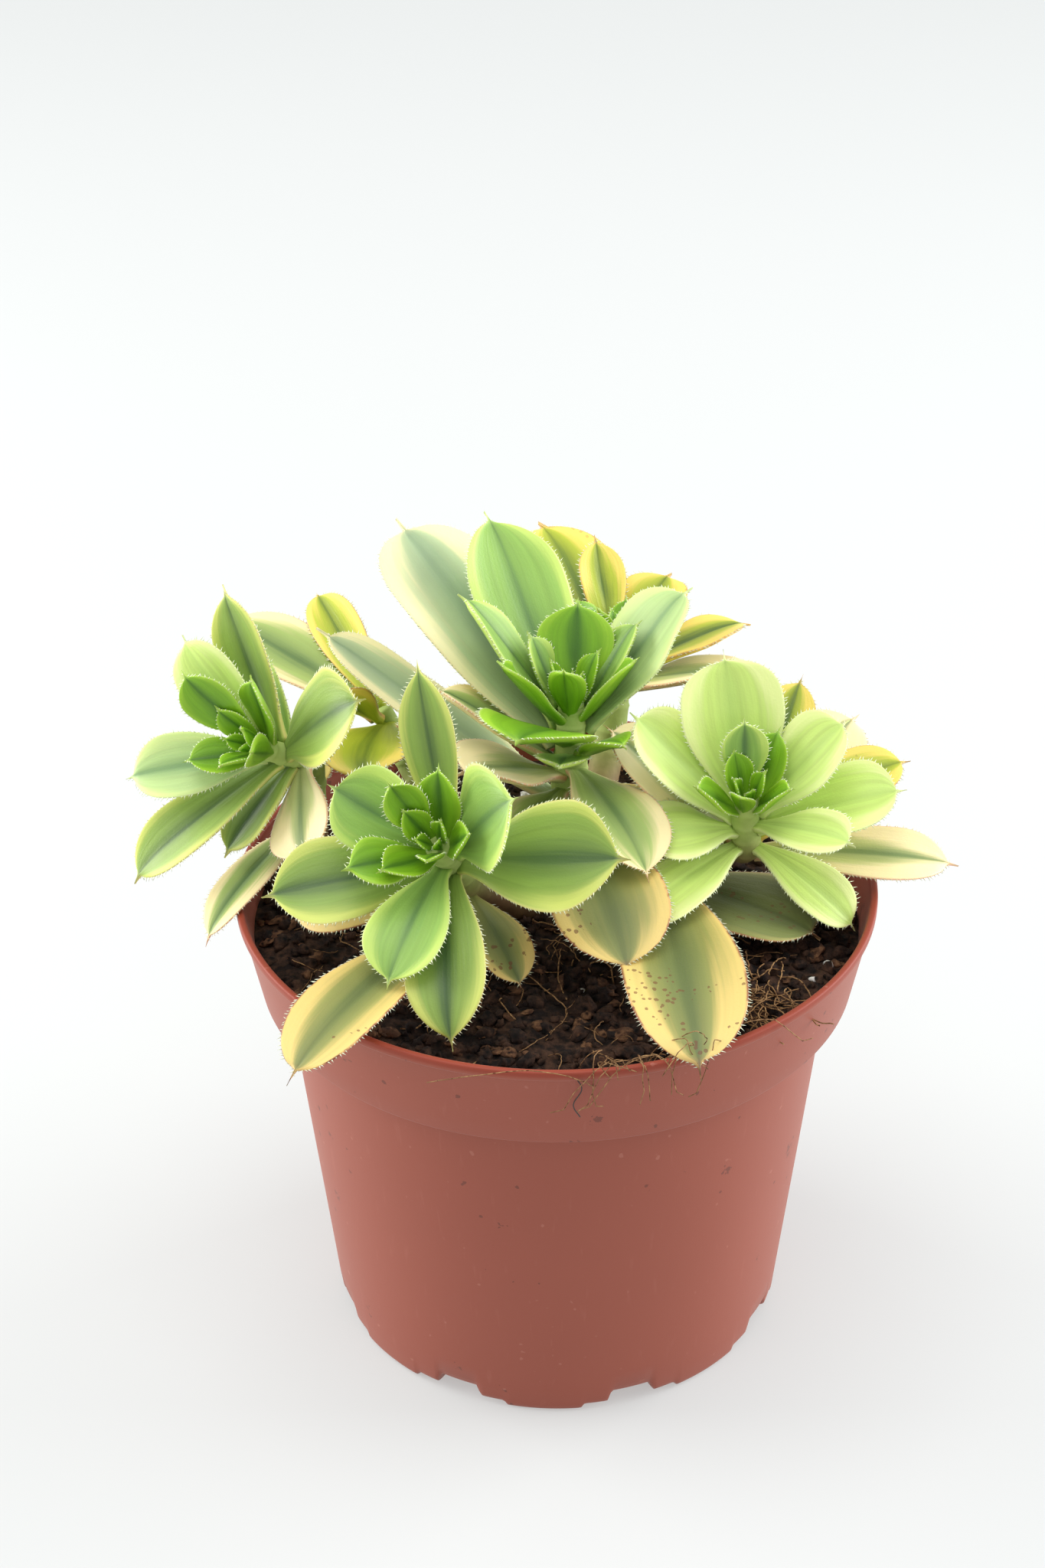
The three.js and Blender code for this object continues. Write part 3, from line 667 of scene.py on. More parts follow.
# %% Fibres over the rim
dice = np.random.default_rng(61)
count, share = 16, np.linspace(0, 1, FIBRE_STEPS)[None, :]
side = np.radians(dice.normal(-76, 5, (count, 1)))
side = side + np.cumsum(np.cumsum(dice.normal(0, 0.008, (count, FIBRE_STEPS)), 1), 1)
out = dice.uniform(50, 56, (count, 1)) + share * dice.uniform(8, 20, (count, 1))
lift = SOIL_TOP + 1 + dice.uniform(8.5, 11.5, (count, 1)) * np.sin(np.minimum(share * 1.5, 1) * np.pi / 2)
drop = dice.uniform(10, 110, (count, 1)) * np.maximum(share - 0.6, 0) ** 2
out = np.where(out > RIM_RADIUS, RIM_RADIUS + 0.3 + 0.14 * (out - RIM_RADIUS), out)
over = np.stack([out * np.cos(side), out * np.sin(side), np.maximum(lift - drop, SOIL_TOP + 1)], -1)
points = tubes(over, np.full(over.shape[:2], 0.09)).reshape(-1, 3)
make_piece("rim_fibres", points, tube_faces(count), FIBRE)
print("rim fibres:", count)

# %% [markdown]
# Another tuft lies tangled on the soil at the front right: fibres from one
# small disc, moved there and lifted by different amounts. One dark hair hangs
# down the collar in a slight wave.

# %% A tangle and a hair
tangle_count = 60
tangle = fibre_paths(dice, tangle_count, (5.0, 13.0), 6.0)
tangle[..., :2] += (36.0, -30.0)
tangle[..., 2] = ground_height(tangle[..., 0], tangle[..., 1]) + dice.uniform(0.3, 3.6, (tangle_count, 1))
points = tubes(tangle, np.full(tangle.shape[:2], 0.13)).reshape(-1, 3)
make_piece("soil_tangle", points, tube_faces(tangle_count), FIBRE)
hang = np.linspace(0, 1, FIBRE_STEPS)
wave, away = 0.06 + 0.012 * np.sin(hang * 7), RIM_RADIUS + 0.3 - 0.9 * hang
hair = np.stack([away * np.sin(wave), -away * np.cos(wave), POT_HEIGHT - 1.5 - 8.5 * hang], -1)[None]
HAIR, tree, shader = new_finish("dark_hair", 0.5)
shade = add(tree, "TexNoise", {"Vector": add(tree, "TexCoord").outputs["Object"], "Scale": 900.0}).outputs["Fac"]
tree.links.new(blend(tree, shade, colour(40, 28, 24), colour(66, 46, 38)), shader.inputs["Base Color"])
make_piece("rim_hair", tubes(hair, np.full((1, FIBRE_STEPS), 0.12)).reshape(-1, 3), tube_faces(1), HAIR)
print("tangled fibres:", tangle_count)

# %% [markdown]
# ## Shoots and stems
# Each shoot ends in a crown, placed from the middle of the soil's top, that
# faces its own way, given as a compass turn and a climb above level. With
# them come the stem's radius and the places that it passes on its way up.
# The feet are places low on the stems from which single old leaves grow.

# %% Where the shoots are
HUB = [2, 2, 3.5]  # where the branching stem comes out of the soil
SHOOTS = {
    "left": ([-55, 2, 36], [220, 33], 2.4, [[-46, 14, 0.3], [-46, 13, 17]]),
    "front": ([-21, -24, 31], [250, 48], 3, [HUB, [-9, -4, 6], [-16, -10, 13]]),
    "centre": ([3, 12, 39], [80, 84], 3.2, [HUB, [2.2, 9.3, 14]]),
    "right": ([35, -3, 27], [268, 70], 3, [HUB, [18, 5, 8.5], [31, 5, 13]]),
    "back": ([12, 43, 36], [80, 75], 3, [HUB, [7, 22, 6], [10, 36, 13]]),
    "spur": ([-33, 27, 29], [150, 60], 2.5, [HUB, [-10, 13, 7], [-20, 19, 12]]),
}
FEET = {
    "leftFoot": ([-46, 13, 19], [0, 90], 2.4),
    "frontFoot": ([-17, -11, 14], [0, 90], 3),
    "centreFoot": ([2, 7, 18], [0, 90], 3.2),
    "rightFoot": ([18, 5, 11], [0, 90], 3),
}
print("shoots:", list(SHOOTS))

# %% [markdown]
# A stem could be a curve with a bevel, but the leaf scars need a radius that
# changes along it, so it is a tube round a smooth path from root to crown.
# The last stretch runs straight along the way that the rosette faces.

# %% The stems' paths
def shoot_frame(shoot):
    """The crown, the way it faces, and two directions square to that, by the shortest turn from upright."""
    crown, (turn, climb) = np.array(shoot[0]) + np.array([0, 0, SOIL_TOP]), np.radians(shoot[1])
    up = Vector((math.cos(climb) * math.cos(turn), math.cos(climb) * math.sin(turn), math.sin(climb)))
    tilt = Vector((0, 0, 1)).rotation_difference(up).to_matrix()
    return crown, np.array(up), np.array(tilt.col[0]), np.array(tilt.col[1])


def smooth_path(stops, count):
    """A Catmull-Rom curve through the stops: each stretch blends the lines through its four nearest stops."""
    stops = np.vstack([2 * stops[0] - stops[1], stops, 2 * stops[-1] - stops[-2]])
    s = np.linspace(0, len(stops) - 3 - 1e-6, count)
    k, t = s.astype(int), (s % 1)[:, None]
    a, b, c, d = stops[k], stops[k + 1], stops[k + 2], stops[k + 3]
    return 0.5 * (2 * b + (c - a) * t + (2 * a - 5 * b + 4 * c - d) * t ** 2 + (3 * b - a - 3 * c + d) * t ** 3)


def stem_path(shoot, count):
    """From 4 mm under the soil, past the stem's own stops, to a straight end at the crown."""
    crown, up, _, _ = shoot_frame(shoot)
    stops = np.array(shoot[3]) + np.array([0, 0, SOIL_TOP])
    stops[0, 2] -= 4.0
    ending = [crown - up * down for down in (14, 7, -0.4)]
    return smooth_path(np.vstack([stops, ending]), count)


print("left stem starts at", stem_path(SHOOTS["left"], 2)[0])

# %% [markdown]
# The skin is dull brown bark low down and turns green near the crowns, where
# it is young. The change follows the height in the object's own coordinates.

# %% Bark
BARK, tree, shader = new_finish("stem_bark", 0.7, Specular_IOR_Level=0.3)
place = add(tree, "TexCoord").outputs["Object"]
mottle = add(tree, "TexNoise", {"Vector": place, "Scale": 420.0, "Detail": 5.0}).outputs["Fac"]
green_from, green_to = (SOIL_TOP + 9) * MM, (SOIL_TOP + 21) * MM
high = step(tree, add(tree, "SeparateXYZ", {0: place}).outputs["Z"], green_from, green_to)
woody = blend(tree, mottle, colour(96, 70, 48), colour(150, 118, 82))
green = blend(tree, mottle, colour(150, 172, 88), colour(186, 202, 120))
tree.links.new(blend(tree, high, woody, green), shader.inputs["Base Color"])
bump = add(tree, "Bump", {"Height": mottle, "Strength": 0.5, "Distance": 0.0004})
tree.links.new(bump.outputs[0], shader.inputs["Normal"])
print("bark turns green from", round(green_from, 4), "to", round(green_to, 4))

# %% [markdown]
# Where a leaf has fallen, the stem keeps a scar that runs round it like a
# shallow ring. A sine to a high power gives narrow rings with gaps between.

# %% Stems
STEM_STEPS, STEM_SIDES = 90, 16


def stem_piece(name, shoots, node):
    """Tubes for several stems in one piece: radius r (1.12 - 0.4 share^2) plus a ring for each leaf scar."""
    paths = np.stack([stem_path(SHOOTS[key], STEM_STEPS) for key in shoots])
    share = np.linspace(0, 1, STEM_STEPS)[None, :]
    scars = 0.22 * np.maximum(0, np.sin(share * 60 + np.arange(len(shoots))[:, None])) ** 6
    thickness = np.array([SHOOTS[key][2] for key in shoots])[:, None]
    radii = thickness * (1.12 - 0.4 * share ** 2) + scars
    radii[:, -1] *= 0.55
    points = tubes(paths, radii, STEM_SIDES).reshape(-1, 3)
    faces = tube_faces(len(shoots), STEM_STEPS, STEM_SIDES)
    return make_piece(name, points, faces, BARK, [node])


stem_piece("stems_branching", ["front", "centre", "right", "back", "spur"], "stem_main")
stem_piece("stem_thin_left", ["left"], "stem_left")
print("stems made")

# %% [markdown]
# ## Leaves
# A leaf of this plant is a thick spoon: a narrow foot, a blade that is widest
# past its middle and a short sharp tip, with tiny pale teeth along both
# margins. One formula makes them all. The centre line leaves the stem at a
# rise and bends steadily, and at each place along it the outline gives the
# width.

# %% The leaf's outline
WIDEST_AT, FOOT_SHARE, LEAF_THICKNESS = 0.62, 0.26, 2.4
SPIKE = 1.0  # how far the fine tip stands past the blade's end


def half_width(u, width, length, roundness):
    """Half the blade's width at a share u of its length.

    It rises as a sine to the widest place and falls as (1 - t^p)^q, where a
    larger p and a smaller q make a rounder end. A spike w (1 - s)^1.8 runs
    past the end of the blade, and the wider of the two is taken.
    """
    p, q = 2.0 + roundness, 0.9 - 0.42 * roundness
    grow = FOOT_SHARE + (1 - FOOT_SHARE) * np.sin(np.clip(u / WIDEST_AT, 0, 1) * np.pi / 2) ** 1.25
    fall = (1 - np.clip((u - WIDEST_AT) / (0.96 - WIDEST_AT), 0, 1) ** p) ** q
    body = np.where(u < WIDEST_AT, grow, fall) * width / 2
    end = 1 + SPIKE / length
    spike = (0.34 - 0.2 * roundness) * width * np.clip((end - u) / (end - 0.8), 0, 1) ** 1.8
    return np.where(u < 0.8, body, np.maximum(body, spike))


def leaf_lines(shoot, down, turn, rise, length, bend, roll, curl, u):
    """The centre line, and the directions ahead, sideways and up at each share u of the length.

    The slope is rise + bend u, plus curl times the square of what u is past
    0.6, and the line is the sum of its small steps along that slope.
    """
    crown, up, across, along = shoot_frame(shoot)
    turn, rise, bend, roll = np.radians([turn, rise, bend, roll])
    out = math.cos(turn) * across + math.sin(turn) * along
    clear = shoot[2] + 0.3 + LEAF_THICKNESS / 2 * math.sin(max(rise, 0))
    slope = (rise + bend * u + curl * np.clip(u - 0.6, 0, 1) ** 2)[:, None]
    middle = (slope[1:] + slope[:-1]) / 2
    steps = (np.cos(middle) * out + np.sin(middle) * up) * np.diff(u)[:, None] * length
    start = u[0] * length * out
    line = crown - up * down + out * clear + np.vstack([start, start + np.cumsum(steps, 0)])
    ahead = np.cos(slope) * out + np.sin(slope) * up
    normal = -np.sin(slope) * out + np.cos(slope) * up
    side = np.cross(ahead, normal)
    turned_side = side * math.cos(roll) + np.cross(ahead, side) * math.sin(roll)
    return line, ahead, turned_side, np.cross(turned_side, ahead)


blade = [half_width(np.array([u]), 10, 20, 0.5)[0] for u in (0, 0.3, 0.6, 0.9)]
print("half widths of a 10 mm blade:", np.round(blade, 2))

# %% [markdown]
# Round each cross-section an angle phi runs over the upper face and back under
# it. The cosine of phi goes across the blade and its sine makes the flesh
# plump, and the section is then cupped into an arc. A faint ripple that
# differs from leaf to leaf keeps them from looking stamped.

# %% The leaf's surface
ALONG, ROUND = 64, 40  # cross-sections along a leaf, and points round each


def leaf_points(row, dice, thickness):
    """All the points of one leaf, with what its teeth need and its UV values.

    A point lies at line + side sin(a) h / a + normal ((1 - cos a) h / a +
    plump + rib + ripple), where h is the half width and a the cupping angle
    times cos phi.
    """
    shoot, down, turn, rise, length, width, bend, cup, roll, roundness = row
    reach = 1 + SPIKE / length
    u = np.concatenate([[-1.5 / length], np.linspace(0, 1, ALONG) ** 0.9 * reach])
    sway = dice.uniform(-1, 1, 5)
    line, ahead, side, normal = leaf_lines(shoot, down, turn, rise, length, bend, roll, -1.6 - 1.6 * sway[4], u)
    phi = np.linspace(0, 2 * np.pi, ROUND, endpoint=False)[None, :]
    across = np.cos(phi)
    u2 = u[:, None]
    half = half_width(np.clip(u2, 0, 2), width, length, roundness)
    arc = math.radians(max(cup, 4)) / 2 * (0.55 + 0.6 * np.clip(u2, 0, 1))
    thick = thickness * (1 - 0.5 * u2) * np.clip((reach + 0.01 - u2) / 0.14, 0.1, 1)
    face = np.sin(phi)
    plump = np.where(face > 0, 0.42, 0.62) * thick * np.sign(face) * np.abs(face) ** 0.85
    rib = -0.3 * np.exp(-(across / 0.12) ** 2) * (face > 0) - 0.3 * np.exp(-(across / 0.14) ** 2) * (face < 0)
    ripple = 0.02 * width * across * np.abs(across) * np.sin(u2 * (5 + 3 * sway[0]) + 3 * sway[1])
    ripple = ripple + 0.012 * width * across ** 2 * np.sin(u2 * (11 + 3 * sway[2]) + 3 * sway[3])
    bend_in = across * arc
    sideways = np.sin(bend_in) / arc * half
    lift = (1 - np.cos(bend_in)) / arc * half + plump + rib * np.clip(half / 4, 0, 1) + ripple
    grid = line[:, None] + side[:, None] * sideways[..., None] + normal[:, None] * lift[..., None]
    uv_across = np.broadcast_to((across + 1) / 2, grid.shape[:2])
    uv_along = np.broadcast_to(np.clip(u2, 0, 1), grid.shape[:2])
    return grid, ahead, side, uv_across, uv_along


print("points round and along a leaf:", ROUND, ALONG + 1)

# %% [markdown]
# The teeth are soft thorns under a millimetre long. They are real geometry,
# because they catch the light against the leaf behind. Each has three sides
# and a small base sunk in the margin, and all of one margin's are made at once.

# %% Teeth along the margins
TOOTH_BASE = 0.16  # radius


def margin_teeth(grid, ahead, side, dice, spacing, reach):
    """Tiny three-sided thorns along both margins, leaning a little towards the leaf's tip.

    They stand at even distances walked along the margin, each moved by up to
    a third of the spacing, and point out plus a share of the way ahead.
    """
    points, faces = [], []
    for column, way in ((0, 1.0), (ROUND // 2, -1.0)):
        edge = grid[:, column]
        walked = np.concatenate([[0], np.cumsum(np.linalg.norm(np.diff(edge, axis=0), axis=1))])
        marks = np.arange(walked[8], walked[-1] * 0.96, spacing)
        marks = marks + dice.uniform(-0.35, 0.35, len(marks)) * spacing
        pick = lambda values: np.stack([np.interp(marks, walked, values[:, k]) for k in range(3)], -1)
        root, out, fore = pick(edge), way * pick(side), pick(ahead)
        lean = out + fore * dice.uniform(0.2, 0.9, (len(marks), 1)) + dice.normal(0, 0.25, (len(marks), 3))
        lean /= np.linalg.norm(lean, axis=1, keepdims=True)
        flat = np.cross(lean, fore)
        flat /= np.linalg.norm(flat, axis=1, keepdims=True)
        third = np.cross(lean, flat)
        root = root - lean * 0.15
        tall = reach * dice.uniform(0.6, 1.25, (len(marks), 1))
        spin = 2 * np.pi / 3 * np.arange(3)
        base = [root + TOOTH_BASE * (flat * math.cos(s) + third * math.sin(s)) for s in spin]
        first = sum(len(p) for p in points)
        points.append(np.stack(base + [root + lean * tall], 1).reshape(-1, 3))
        a = first + 4 * np.arange(len(marks))
        for corner in ((0, 1, 3), (1, 2, 3), (2, 0, 3), (2, 1, 0)):
            faces.append(np.stack([a + corner[0], a + corner[1], a + corner[2]], -1))
    return np.vstack(points), np.vstack(faces)


print("tooth base radius:", TOOTH_BASE)

# %% [markdown]
# One more helper closes the two ends of the blade and adds the teeth, whose V
# value of 2 marks them for the finish. The rings run clockwise as seen from
# the tip, so their faces are reversed to point outwards. The last helper makes
# the piece.

# %% A whole leaf
def leaf_mesh(row, dice, first=0, thickness=LEAF_THICKNESS, spacing=0.8, reach=0.9):
    """Points, faces and UV values of a closed leaf with its teeth, its points numbered from first."""
    grid, ahead, side, across, along = leaf_points(row, dice, thickness)
    rows = len(grid)
    skin = np.vstack([grid.reshape(-1, 3), [grid[0].mean(0)], [grid[-1].mean(0)]])
    faces = ring_faces(rows, ROUND, first)[:, ::-1].tolist()
    faces += cap_faces(first, ROUND, first + len(skin) - 2, False).tolist()
    faces += cap_faces(first + (rows - 1) * ROUND, ROUND, first + len(skin) - 1, True).tolist()
    teeth, tooth_faces = margin_teeth(grid, ahead, side, dice, spacing, reach)
    faces += (tooth_faces + first + len(skin)).tolist()
    across = np.concatenate([across.ravel(), [0.5, 0.5], np.ones(len(teeth))])
    along = np.concatenate([along.ravel(), [0.0, 1.0], np.full(len(teeth), 2.0)])
    return np.vstack([skin, teeth]), faces, across, along


def grow_leaf(name, row, kind, seed, material_slot, replaced=(), **shape):
    """One leaf as a piece of its own."""
    dice = np.random.default_rng(seed)
    points, faces, across, along = leaf_mesh(row, dice, **shape)
    leaf = make_piece(name, points, faces, LEAF_FINISH[kind], replaced)
    set_uv(leaf, across, along)
    set_value(leaf, "leaf_vary", np.full(len(points), dice.uniform(0, 1)))
    return leaf


# %% [markdown]
# The leaves are listed one by one, as each one grew its own way: its shoot, how
# far down the stem it starts, its turn and rise, its length and width, how it
# bends, cups and rolls, how round its end is, and its kind of colouring. This
# list has a solid in the frame for every row.

# %% The large leaves
ALL_SHOOTS = {**SHOOTS, **FEET}
LEAVES = [
    ("left_1", "left", 4, 96, 45, 23, 13, -10, 50, 0, 0.7, "lime"),
    ("left_2", "left", 7, 75, 30, 29, 12, 0, 60, 0, 0.3, "striped"),
    ("left_3", "left", 5, 172, 42, 25, 13, -15, 50, 0, 0.5, "pale"),
    ("left_4", "left", 8, 202, 30, 34, 13, -15, 50, 0, 0.4, "striped"),
    ("left_5", "left", 11, 218, 20, 19, 11, -5, 60, 0, 0.4, "striped"),
    ("left_6", "left", 12.4, 264, 12, 18, 15, -5, 40, 0, 0.9, "cream"),
    ("left_7", "left", 7, 351, 25, 26, 18, -10, 40, 0, 0.6, "striped"),
    ("front_1", "front", 9, 90, 25, 32, 10.5, 0, 60, 0, 0.1, "striped"),
    ("front_2", "front", 5, 145, 35, 20, 16, 0, 40, 0, 0.7, "fresh"),
    ("front_3", "front", 3, 195, 45, 15, 10, -10, 40, 0, 0.2, "green"),
    ("front_4", "front", 9, 187, 20, 30, 17, -10, 40, 0, 0.3, "striped"),
    ("front_5", "front", 4, 8, 50, 20, 20, 0, 40, 0, 0.4, "fresh"),
    ("front_6", "front", 9, 348, 20, 31, 21, -15, 40, 0, 0.25, "striped"),
    ("front_7", "front", 7, 246, 34, 24, 15, -32, 40, 0, 0.5, "fresh"),
    ("front_8", "front", 10, 268, 29, 33, 15, -36, 40, 0, 0.2, "striped"),
    ("centre_1", "centre", 9, 137, 42, 52, 29, -10, 20, 0, 1.0, "misty"),
    ("centre_2", "centre", 6, 119, 50, 43, 21, -5, 40, 0, 0.35, "fresh"),
    ("centre_3", "centre", 3, 165, 52, 27, 11, 0, 60, 0, 0.3, "fresh"),
    ("centre_4", "centre", 2, 85, 66, 18, 15, 0, 50, 0, 0.3, "green"),
    ("centre_5", "centre", 6, 27, 52, 31, 20, 0, 40, 0, 0.9, "pale"),
    ("centre_6", "centre", 12, 178, 34, 25, 12, 0, 60, 0, 0.4, "edged"),
    ("centre_7", "centre", 6, 245, 32, 21, 23, -20, 40, 0, 0.4, "green"),
    ("centre_8", "centre", 14, 210, 20, 20, 21, -8, 40, 0, 0.8, "cream"),
    ("centre_9", "centre", 17, 236, -2, 17, 13, -20, 40, 0, 0.5, "edged"),
    ("centre_10", "centre", 13, 296, 1, 30, 17, -30, 40, 0, 0.4, "edged"),
    ("centre_11", "centre", 20, 163, 29, 53, 18, 4, 30, 0, 0.8, "misty"),
    ("right_1", "right", 5, 100, 48, 27, 20, 0, 50, 0, 1.0, "lime"),
    ("right_2", "right", 7, 150, 41, 26, 15, 0, 50, 0, 0.9, "lime"),
    ("right_3", "right", 12, 153, 35, 30, 13, 0, 50, 0, 0.8, "cream"),
    ("right_4", "right", 8, 199, 28, 18, 14, -20, 30, 0, 0.9, "lime"),
    ("right_5", "right", 5, 30, 41, 22, 15, 0, 60, 0, 1.0, "lime"),
    ("right_6", "right", 8, 4, 22, 26, 16, -10, 50, 0, 0.9, "lime"),
    ("right_7", "right", 6, 329, 30, 19, 11, -15, 40, 0, 0.9, "lime"),
    ("right_8", "right", 12, 322, 0, 23, 11, -30, 40, 0, 0.7, "lime"),
    ("right_9", "right", 12, 227, 20, 29, 13, -16, 40, 0, 0.7, "lime"),
    ("right_10", "right", 15.5, 357, 5, 36, 13, -15, 40, 0, 0.6, "cream"),
    ("right_11", "right", 11, 22, 20, 30, 13, -10, 40, 0, 0.7, "golden"),
    ("right_12", "right", 13, 48, 20, 30, 16, -10, 40, 0, 0.8, "cream"),
    ("back_1", "back", 6, 122, 45, 33, 22, -5, 40, 0, 0.4, "golden"),
    ("back_2", "back", 4, 53, 46, 18, 16, 0, 40, 0, 0.8, "golden"),
    ("back_3", "back", 8, 24, 25, 26, 14, -10, 40, 0, 0.5, "golden"),
    ("back_4", "back", 10, 358, 15, 25, 18, -10, 40, 0, 0.5, "cream"),
    ("back_5", "back", 12, 90, 15, 32, 18, -15, 40, 0, 0.5, "golden"),
    ("back_6", "back", 11, 165, 20, 30, 17, -10, 40, 0, 0.5, "golden"),
    ("spur_1", "spur", 1, 143, 50, 38, 17, -12, 40, 0, 0.4, "edged"),
    ("spur_2", "spur", 3, 259, 8, 20, 18, -28, 30, -25, 0.6, "golden"),
    ("low_1", "leftFoot", 6, 235, 0, 32, 9, -30, 40, 0, 0.4, "edged"),
    ("low_2", "frontFoot", 7, 240, 12.8, 55, 16, -20, 30, 0, 0.8, "old"),
    ("low_3", "centreFoot", 1, 284, 12, 42, 22, -36, 30, 0, 0.7, "old"),
    ("low_4", "rightFoot", 6.3, 328, 6, 32, 22, -10, 25, 0, 0.9, "olive"),
    ("low_5", "rightFoot", 4, 276, 14, 62, 22, -24, 30, 0, 0.8, "old"),
]
for seed, (name, shoot, *numbers, kind) in enumerate(LEAVES):
    slot_name = "old_leaf" if name.startswith(("low", "spur")) else "leaf"
    grow_leaf("grown_" + name, (ALL_SHOOTS[shoot], *numbers), kind, 100 + seed, slot_name, ["leaf_" + name])
print("large leaves:", len(LEAVES))

# %% [markdown]
# Between the large leaves and the hearts, and low down under them, grow small
# ones with no solid of their own. They fill the rosettes from every side.

# %% The small leaves
SMALL_LEAVES = [
    ("left_inner", "left", 1.5, 96, 62, 17, 10, -10, 50, 0, 0.5, "green"),
    ("left_edge_on", "left", 10, 84, 20, 18, 7, 0, 50, 0, 0.5, "fresh"),
    ("front_inner", "front", 1.5, 119, 64, 14, 8, 0, 60, 0, 0.5, "green"),
    ("centre_inner_right", "centre", 2.5, 30, 58, 18, 9, 0, 60, 0, 0.5, "fresh"),
    ("centre_inner_left", "centre", 1.5, 150, 66, 13, 8, 0, 60, 0, 0.5, "fresh"),
    ("centre_low_right", "centre", 16, 320, 5, 17, 12, -20, 40, 0, 0.5, "old"),
    ("centre_neck_right", "centre", 9, 305, 34, 14, 10, -10, 50, 0, 0.4, "green"),
    ("centre_neck_front", "centre", 10, 262, 24, 13, 10, -10, 50, 0, 0.4, "fresh"),
    ("right_inner", "right", 1, 93, 66, 13, 9, 0, 60, 0, 0.5, "fresh"),
    ("right_far", "right", 10, 67, 32, 28, 12, -10, 40, 0, 0.5, "golden"),
    ("back_inner", "back", 2.5, 110, 60, 20, 10, 0, 50, 0, 0.5, "golden"),
    ("spur_inner_left", "spur", 1, 250, 50, 13, 9, -10, 50, 0, 0.5, "golden"),
    ("spur_far", "spur", 0.5, 105, 55, 32, 10, -25, 50, 0, 0.5, "golden"),
    ("front_under", "front", 15, 185, 8, 30, 14, -20, 40, 0, 0.5, "old"),
    ("front_low", "frontFoot", 1, 300, -10, 20, 11, -30, 40, 0, 0.5, "old"),
    ("left_under", "leftFoot", 2, 100, 10, 16, 12, -20, 40, 0, 0.5, "old"),
]
SLOT_OF = {"old": "old_leaf", "golden": "old_leaf", "green": "young_leaf"}
for seed, (name, shoot, *numbers, kind) in enumerate(SMALL_LEAVES):
    slot_name = SLOT_OF.get(kind, "leaf")
    grow_leaf("small_" + name, (ALL_SHOOTS[shoot], *numbers), kind, 300 + seed, slot_name, thickness=2.0)
print("small leaves:", len(SMALL_LEAVES))

# %% [markdown]
# The heart of a rosette is a tight spiral of young leaves. Each is turned by
# the golden angle from the last, and the younger it is the shorter and more
# upright it stands, so a short loop lays out the whole bud.

# %% Hearts
HEARTS = [("left", 40, 12), ("front", 75, 12), ("centre", 205, 15), ("right", 60, 12), ("back", 20, 10)]
YOUNG_LEAVES, GOLDEN_TURN = 8, 137.5
for index, (shoot, first_turn, size) in enumerate(HEARTS):
    dice = np.random.default_rng(500 + index)
    points, faces, acrosses, alongs = [], [], [], []
    thin_shoot = (SHOOTS[shoot][0], SHOOTS[shoot][1], 0.6)
    for young in range(YOUNG_LEAVES):
        share = young / (YOUNG_LEAVES - 1)
        length = size * (1.3 - 0.95 * share)
        row = (thin_shoot, 4.6 - 3.6 * share, first_turn + GOLDEN_TURN * young, 42 + 40 * share, length,
               length * 0.57, 14 * (1 - share), 70, 0, 0.35)
        got = leaf_mesh(row, dice, first=sum(len(p) for p in points), thickness=1.7 - 0.7 * share,
                        spacing=0.7, reach=0.5)
        points.append(got[0])
        faces += got[1]
        acrosses.append(got[2])
        alongs.append(got[3])
    heart = make_piece("bud_" + shoot, np.vstack(points), faces, LEAF_FINISH["green"],
                       ["heart_" + shoot])
    set_uv(heart, np.concatenate(acrosses), np.concatenate(alongs))
    set_value(heart, "leaf_vary", np.full(len(heart.data.vertices), index / 5))
print("hearts:", len(HEARTS))

# %% [markdown]
# ## Floor, light and camera
# The plant stands on a pale sheet that curves up far behind it, so there is
# no horizon: level near the plant, then a quarter of a cosine wave. The sheet
# has a painted glow: an emission, though it is no lamp, which fills the
# shadows on it and keeps them weak.

# %% Floor
SHEET_ROWS, CURVE_START, CURVE_LENGTH, CURVE_RISE = 60, 1200, 2800, 2400
reach = np.linspace(-6000, CURVE_START + CURVE_LENGTH, SHEET_ROWS)
quarter = np.clip((reach - CURVE_START) / CURVE_LENGTH, 0, 1) * np.pi / 2
rise_back = CURVE_RISE * (1 - np.cos(quarter))
sheet_x, sheet_s = np.meshgrid(np.linspace(-6000, 6000, 3), np.arange(SHEET_ROWS), indexing="ij")
sheet = np.stack([sheet_x, reach[sheet_s], rise_back[sheet_s] - 0.05], -1).reshape(-1, 3)
strip, row = np.meshgrid(np.arange(2), np.arange(SHEET_ROWS - 1), indexing="ij")
corner = strip * SHEET_ROWS + row
sheet_faces = np.stack([corner, corner + SHEET_ROWS, corner + SHEET_ROWS + 1, corner + 1], -1).reshape(-1, 4).tolist()
# The emission is a painted glow that lifts the shadows on the sheet.
GLOWING_PAPER, tree, shader = new_finish("pale_sheet_painted_glow", 0.9, Specular_IOR_Level=0.1, Emission_Strength=0.42)
shader.inputs["Emission Color"].default_value = (1.0, 1.0, 0.99, 1.0)
place = add(tree, "TexCoord").outputs["Object"]
cloud = add(tree, "TexNoise", {"Vector": place, "Scale": 3.0, "Detail": 1.0}).outputs["Fac"]
tree.links.new(blend(tree, cloud, colour(150, 153, 152), colour(153, 155, 154)), shader.inputs["Base Color"])
mesh = bpy.data.meshes.new("floor_sheet")
mesh.from_pydata((sheet * MM).tolist(), [], sheet_faces)
mesh.polygons.foreach_set("use_smooth", np.full(len(mesh.polygons), True))
mesh.materials.append(GLOWING_PAPER)
floor = bpy.data.objects.new("floor_sheet", mesh)
bpy.context.collection.objects.link(floor)
print("floor ready")

# %% [markdown]
# Two big soft lights stand on the left and the right, so the sides of the pot
# are paler than its front. A third hangs overhead for the leaves, and a white
# surround lifts what is left.

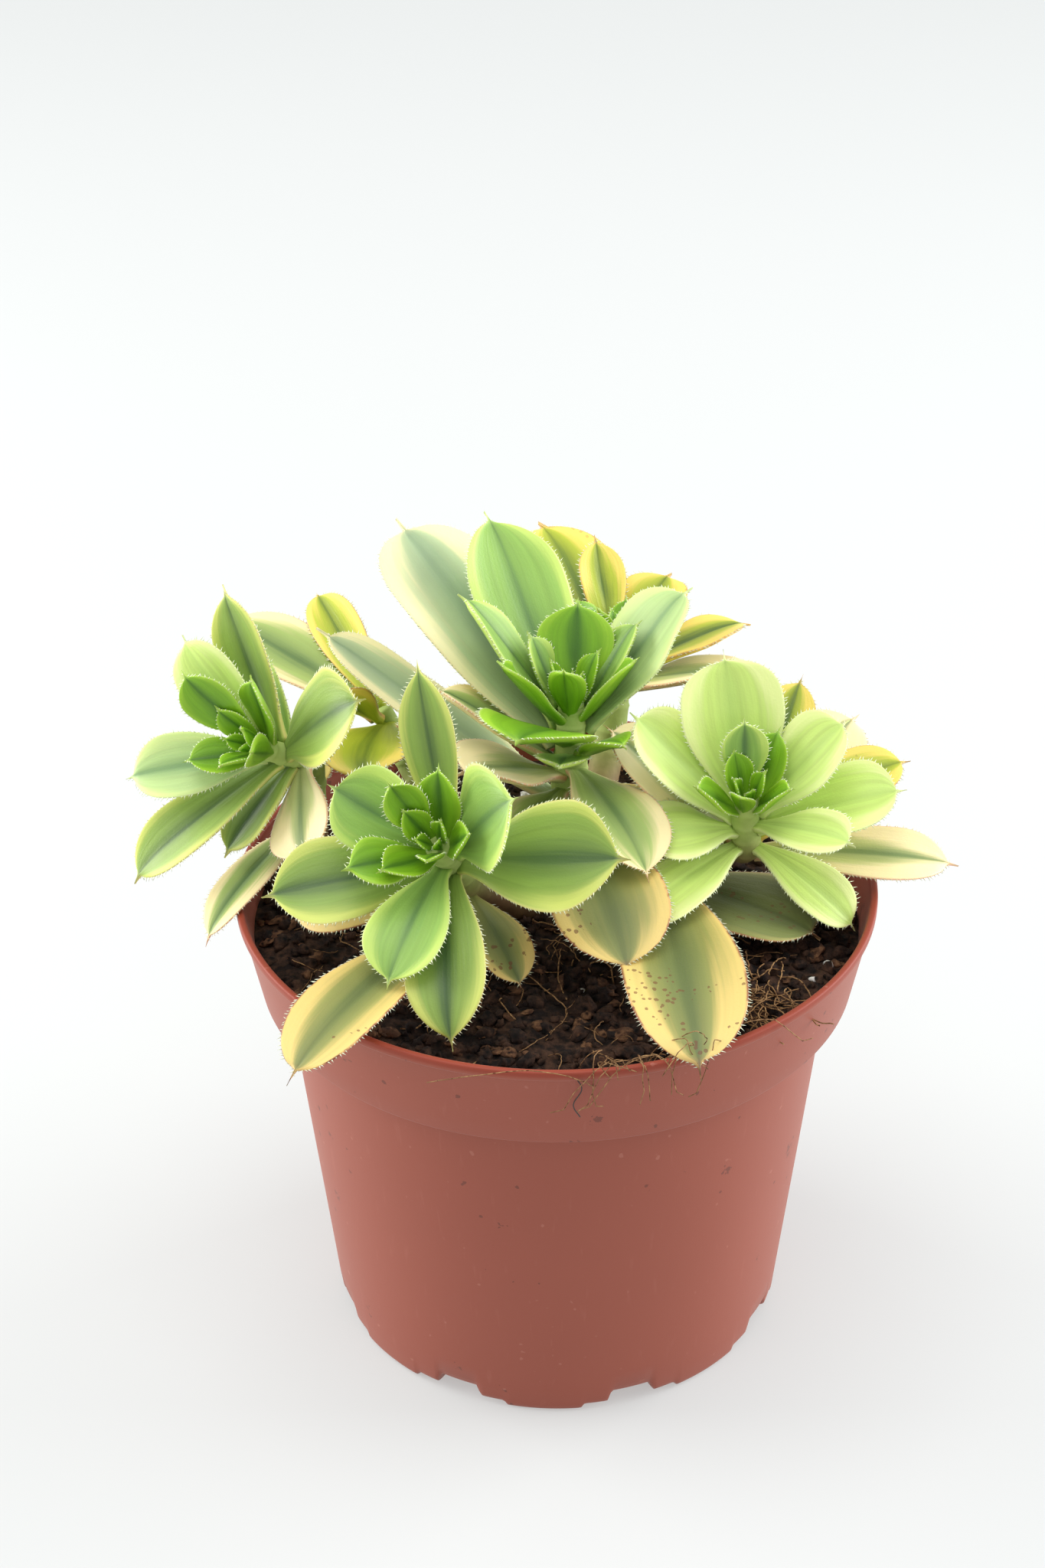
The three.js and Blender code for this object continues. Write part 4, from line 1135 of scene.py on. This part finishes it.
# %% Light
def soft_light(name, place, target, size, watts, tint):
    """A square area light aimed at a point."""
    lamp = bpy.data.lights.new(name, "AREA")
    lamp.size, lamp.energy, lamp.color = size, watts, tint
    holder = bpy.data.objects.new(name, lamp)
    holder.location = place
    holder.rotation_euler = (Vector(target) - Vector(place)).to_track_quat("-Z", "Y").to_euler()
    bpy.context.collection.objects.link(holder)


soft_light("left_side", (-0.85, 0.22, 0.34), (0, 0, 0.06), 0.7, 9.6, (1.0, 0.99, 0.97))
soft_light("right_side", (0.85, 0.22, 0.34), (0, 0, 0.06), 0.7, 10.0, (0.98, 0.99, 1.0))
soft_light("overhead", (-0.15, -0.15, 1.5), (0, 0, 0.1), 0.9, 8.0, (1.0, 1.0, 0.99))
world = bpy.data.worlds.new("white_room")
world.use_nodes = True
world.node_tree.nodes["Background"].inputs["Color"].default_value = (0.95, 0.975, 1.0, 1.0)
world.node_tree.nodes["Background"].inputs["Strength"].default_value = 0.88
bpy.context.scene.world = world
bpy.context.scene.view_settings.view_transform = "Standard"
print("lights ready")

# %% [markdown]
# The camera looks down on the plant from half a metre in front, with a lens a
# little longer than normal. Its direction is given by a yaw, a pitch and a
# roll in degrees, built up as three unit vectors.

# %% Camera
yaw, pitch, roll = np.radians([-0.7, 31.86, -0.56])
ahead = np.array([math.sin(yaw) * math.cos(pitch), math.cos(yaw) * math.cos(pitch), -math.sin(pitch)])
right = np.array([math.cos(yaw), -math.sin(yaw), 0.0])
upward = np.cross(right, ahead)
right, upward = math.cos(roll) * right + math.sin(roll) * upward, math.cos(roll) * upward - math.sin(roll) * right
lens = bpy.data.cameras.new("camera")
lens.lens, lens.sensor_width = 73.3, 36.0
lens.clip_start, lens.clip_end = 0.01, 20.0
camera = bpy.data.objects.new("camera", lens)
columns = np.column_stack([right, upward, -ahead, (0, -0.4981, 0.4236)])
camera.matrix_world = Matrix(columns.tolist() + [[0, 0, 0, 1]])
bpy.context.collection.objects.link(camera)
bpy.context.scene.camera = camera
print("camera at", tuple(round(v, 3) for v in camera.location))
